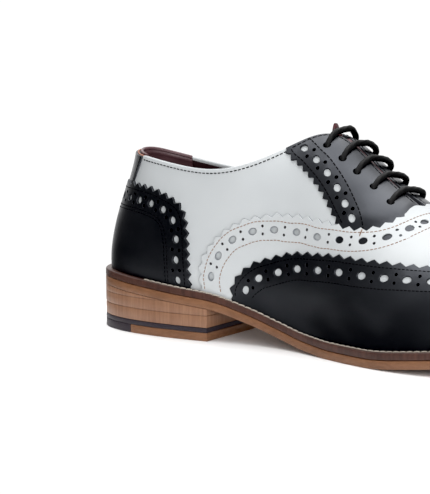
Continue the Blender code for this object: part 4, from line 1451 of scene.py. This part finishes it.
def makeHeel():
    gap = build["gap"]
    half = gap * 0.5
    breast = stationAt(sole["breastX"])
    whole = planOutline(0, breast, 70)
    wedge = planOutline(0, stationAt(heel["wedgeEnd"]), 60)
    rear = planOutline(0, stationAt(heel["rubberEnd"]), 40)
    front = planOutline(stationAt(heel["rubberEnd"] + gap), breast, 60)
    seat = aboveSole(-half)
    underSeat = lambda x: np.minimum(heel["lift2"], soleBottom(x) - half)
    layers = [
        ("heelWedge", wedge, level(heel["lift2"] + half), seat, "stack", "heel_lift_1"),
        ("heelLiftUpper", whole, level(heel["lift3"] + half), underSeat, "stack", "heel_lift_2"),
        ("heelLiftLower", whole, level(heel["lift4"] + half), level(heel["lift3"]), "stack", "heel_lift_3"),
        ("heelLiftBlack", whole, level(heel["topPiece"] + half), level(heel["lift4"]), "rubber",
         "heel_lift_4"),
        ("topRubber", rear, level(0), level(heel["topPiece"]), "rubber", "top_piece_rubber"),
        ("topLeather", front, level(0), level(heel["topPiece"]), "tan", "top_piece_leather"),
    ]
    slots = {"stack": "sole_leather", "tan": "sole_leather", "rubber": "heel_rubber"}
    for name, plan, bottom, top, finish, node in layers:
        edge = heel["wedgeRound"] if plan is wedge else heel["round"]
        board(name, plan, softRings(bottom, top, edge), finishes[finish], slots[finish], [node])


makeWing()
makeVamp()
makeFacing("facingMedial", -1, "facing_medial")
makeFacing("facingLateral", 1, "facing_lateral")
makeCounter()
makeStrip()
print("panels cut")
makeQuarter()
makeLining()
makeHeelPatch()
makeTongue()
for index, spot in enumerate(facing["eyelets"], 1):
    makeLace(index, spot)
print("upper dressed")
makeOutsole()
makeWelt()
makeInsole()
makeHeel()
sewWelt()
threads["black"].make("stitchesBlack", finishes["blackThread"], "lace_cotton")
threads["tan"].make("stitchesTan", finishes["tanThread"], "welt_leather")
threads["ivory"].make("stitchesWelt", finishes["ivoryThread"], "white_calf")
print("sole and stitches made")


# floor and light
studio = {
    "horizon": 0.05, "wall": 0.22, "topLamp": 3.7, "topWay": (-0.12, 0.12, 0.985), "topReach": (0.70, 0.93),
    "sideLamp": 3.4, "sideWay": (0.66, -0.75, 0.08), "sideReach": (0.76, 0.93),
    "fillLamp": 1.3, "fillWay": (-0.45, 0.87, 0.2), "fillReach": (0.55, 0.9), "backdrop": 1.05,
    "floor": (0.97, 0.97, 0.97), "floorSize": (0.215, 0.095), "floorCorners": 96, "blackPoint": 0.008,
}


def makeFloor():
    # a sheet of paper that ends, unseen, where the white backdrop takes over
    count = studio["floorCorners"]
    turns = np.arange(count) * 2 * pi / count
    bulge = np.maximum(np.abs(np.cos(turns)), np.abs(np.sin(turns))) ** -0.5
    wide, deep = studio["floorSize"]
    mesh = bpy.data.meshes.new("floor")
    corners = [(wide * cos(turn) * out, deep * sin(turn) * out, 0) for turn, out in zip(turns, bulge)]
    mesh.from_pydata(corners, [], [list(range(count))])
    finish = Finish("floorPaper", Base_Color=studio["floor"], Roughness=0.9, Specular_IOR_Level=0.1)
    mesh.materials.append(finish.material)
    floor = bpy.data.objects.new("floor", mesh)
    scene.collection.objects.link(floor)


def makeWorld():
    # a soft light overhead, one beside the toe and a weak one behind, between dim walls
    # the camera itself sees plain white
    world = bpy.data.worlds.new("studio")
    scene.world = world
    world.use_nodes = True
    nodes = Nodes(world.node_tree, "Background")
    nodes.feed("Color", (1, 1, 1))
    way = nodes.node("ShaderNodeTexCoord")
    depth = nodes.node("ShaderNodeSeparateXYZ", (), {0: way}, out=1)
    height = nodes.node("ShaderNodeSeparateXYZ", (), {0: way}, out=2)
    glow = height.ramp(0.1, 0.45) * (0 - depth).ramp(-0.3, 0.6) * studio["wall"] + studio["horizon"]
    for lamp in ("top", "side", "fill"):
        towards = nodes.node(
            "ShaderNodeVectorMath", {"operation": "DOT_PRODUCT"}, {0: way, 1: studio[lamp + "Way"]}, out=1)
        glow = glow + towards.ramp(*studio[lamp + "Reach"]) * studio[lamp + "Lamp"]
    seen = nodes.node("ShaderNodeLightPath")
    nodes.feed("Strength", seen * studio["backdrop"] + (1 - seen) * glow)


makeFloor()
makeWorld()
scene.view_settings.view_transform = "Standard"
scene.view_settings.use_curve_mapping = True
scene.view_settings.curve_mapping.black_level = (studio["blackPoint"],) * 3
scene.view_settings.curve_mapping.update()
print("studio lit")

bpy.context.view_layer.update()
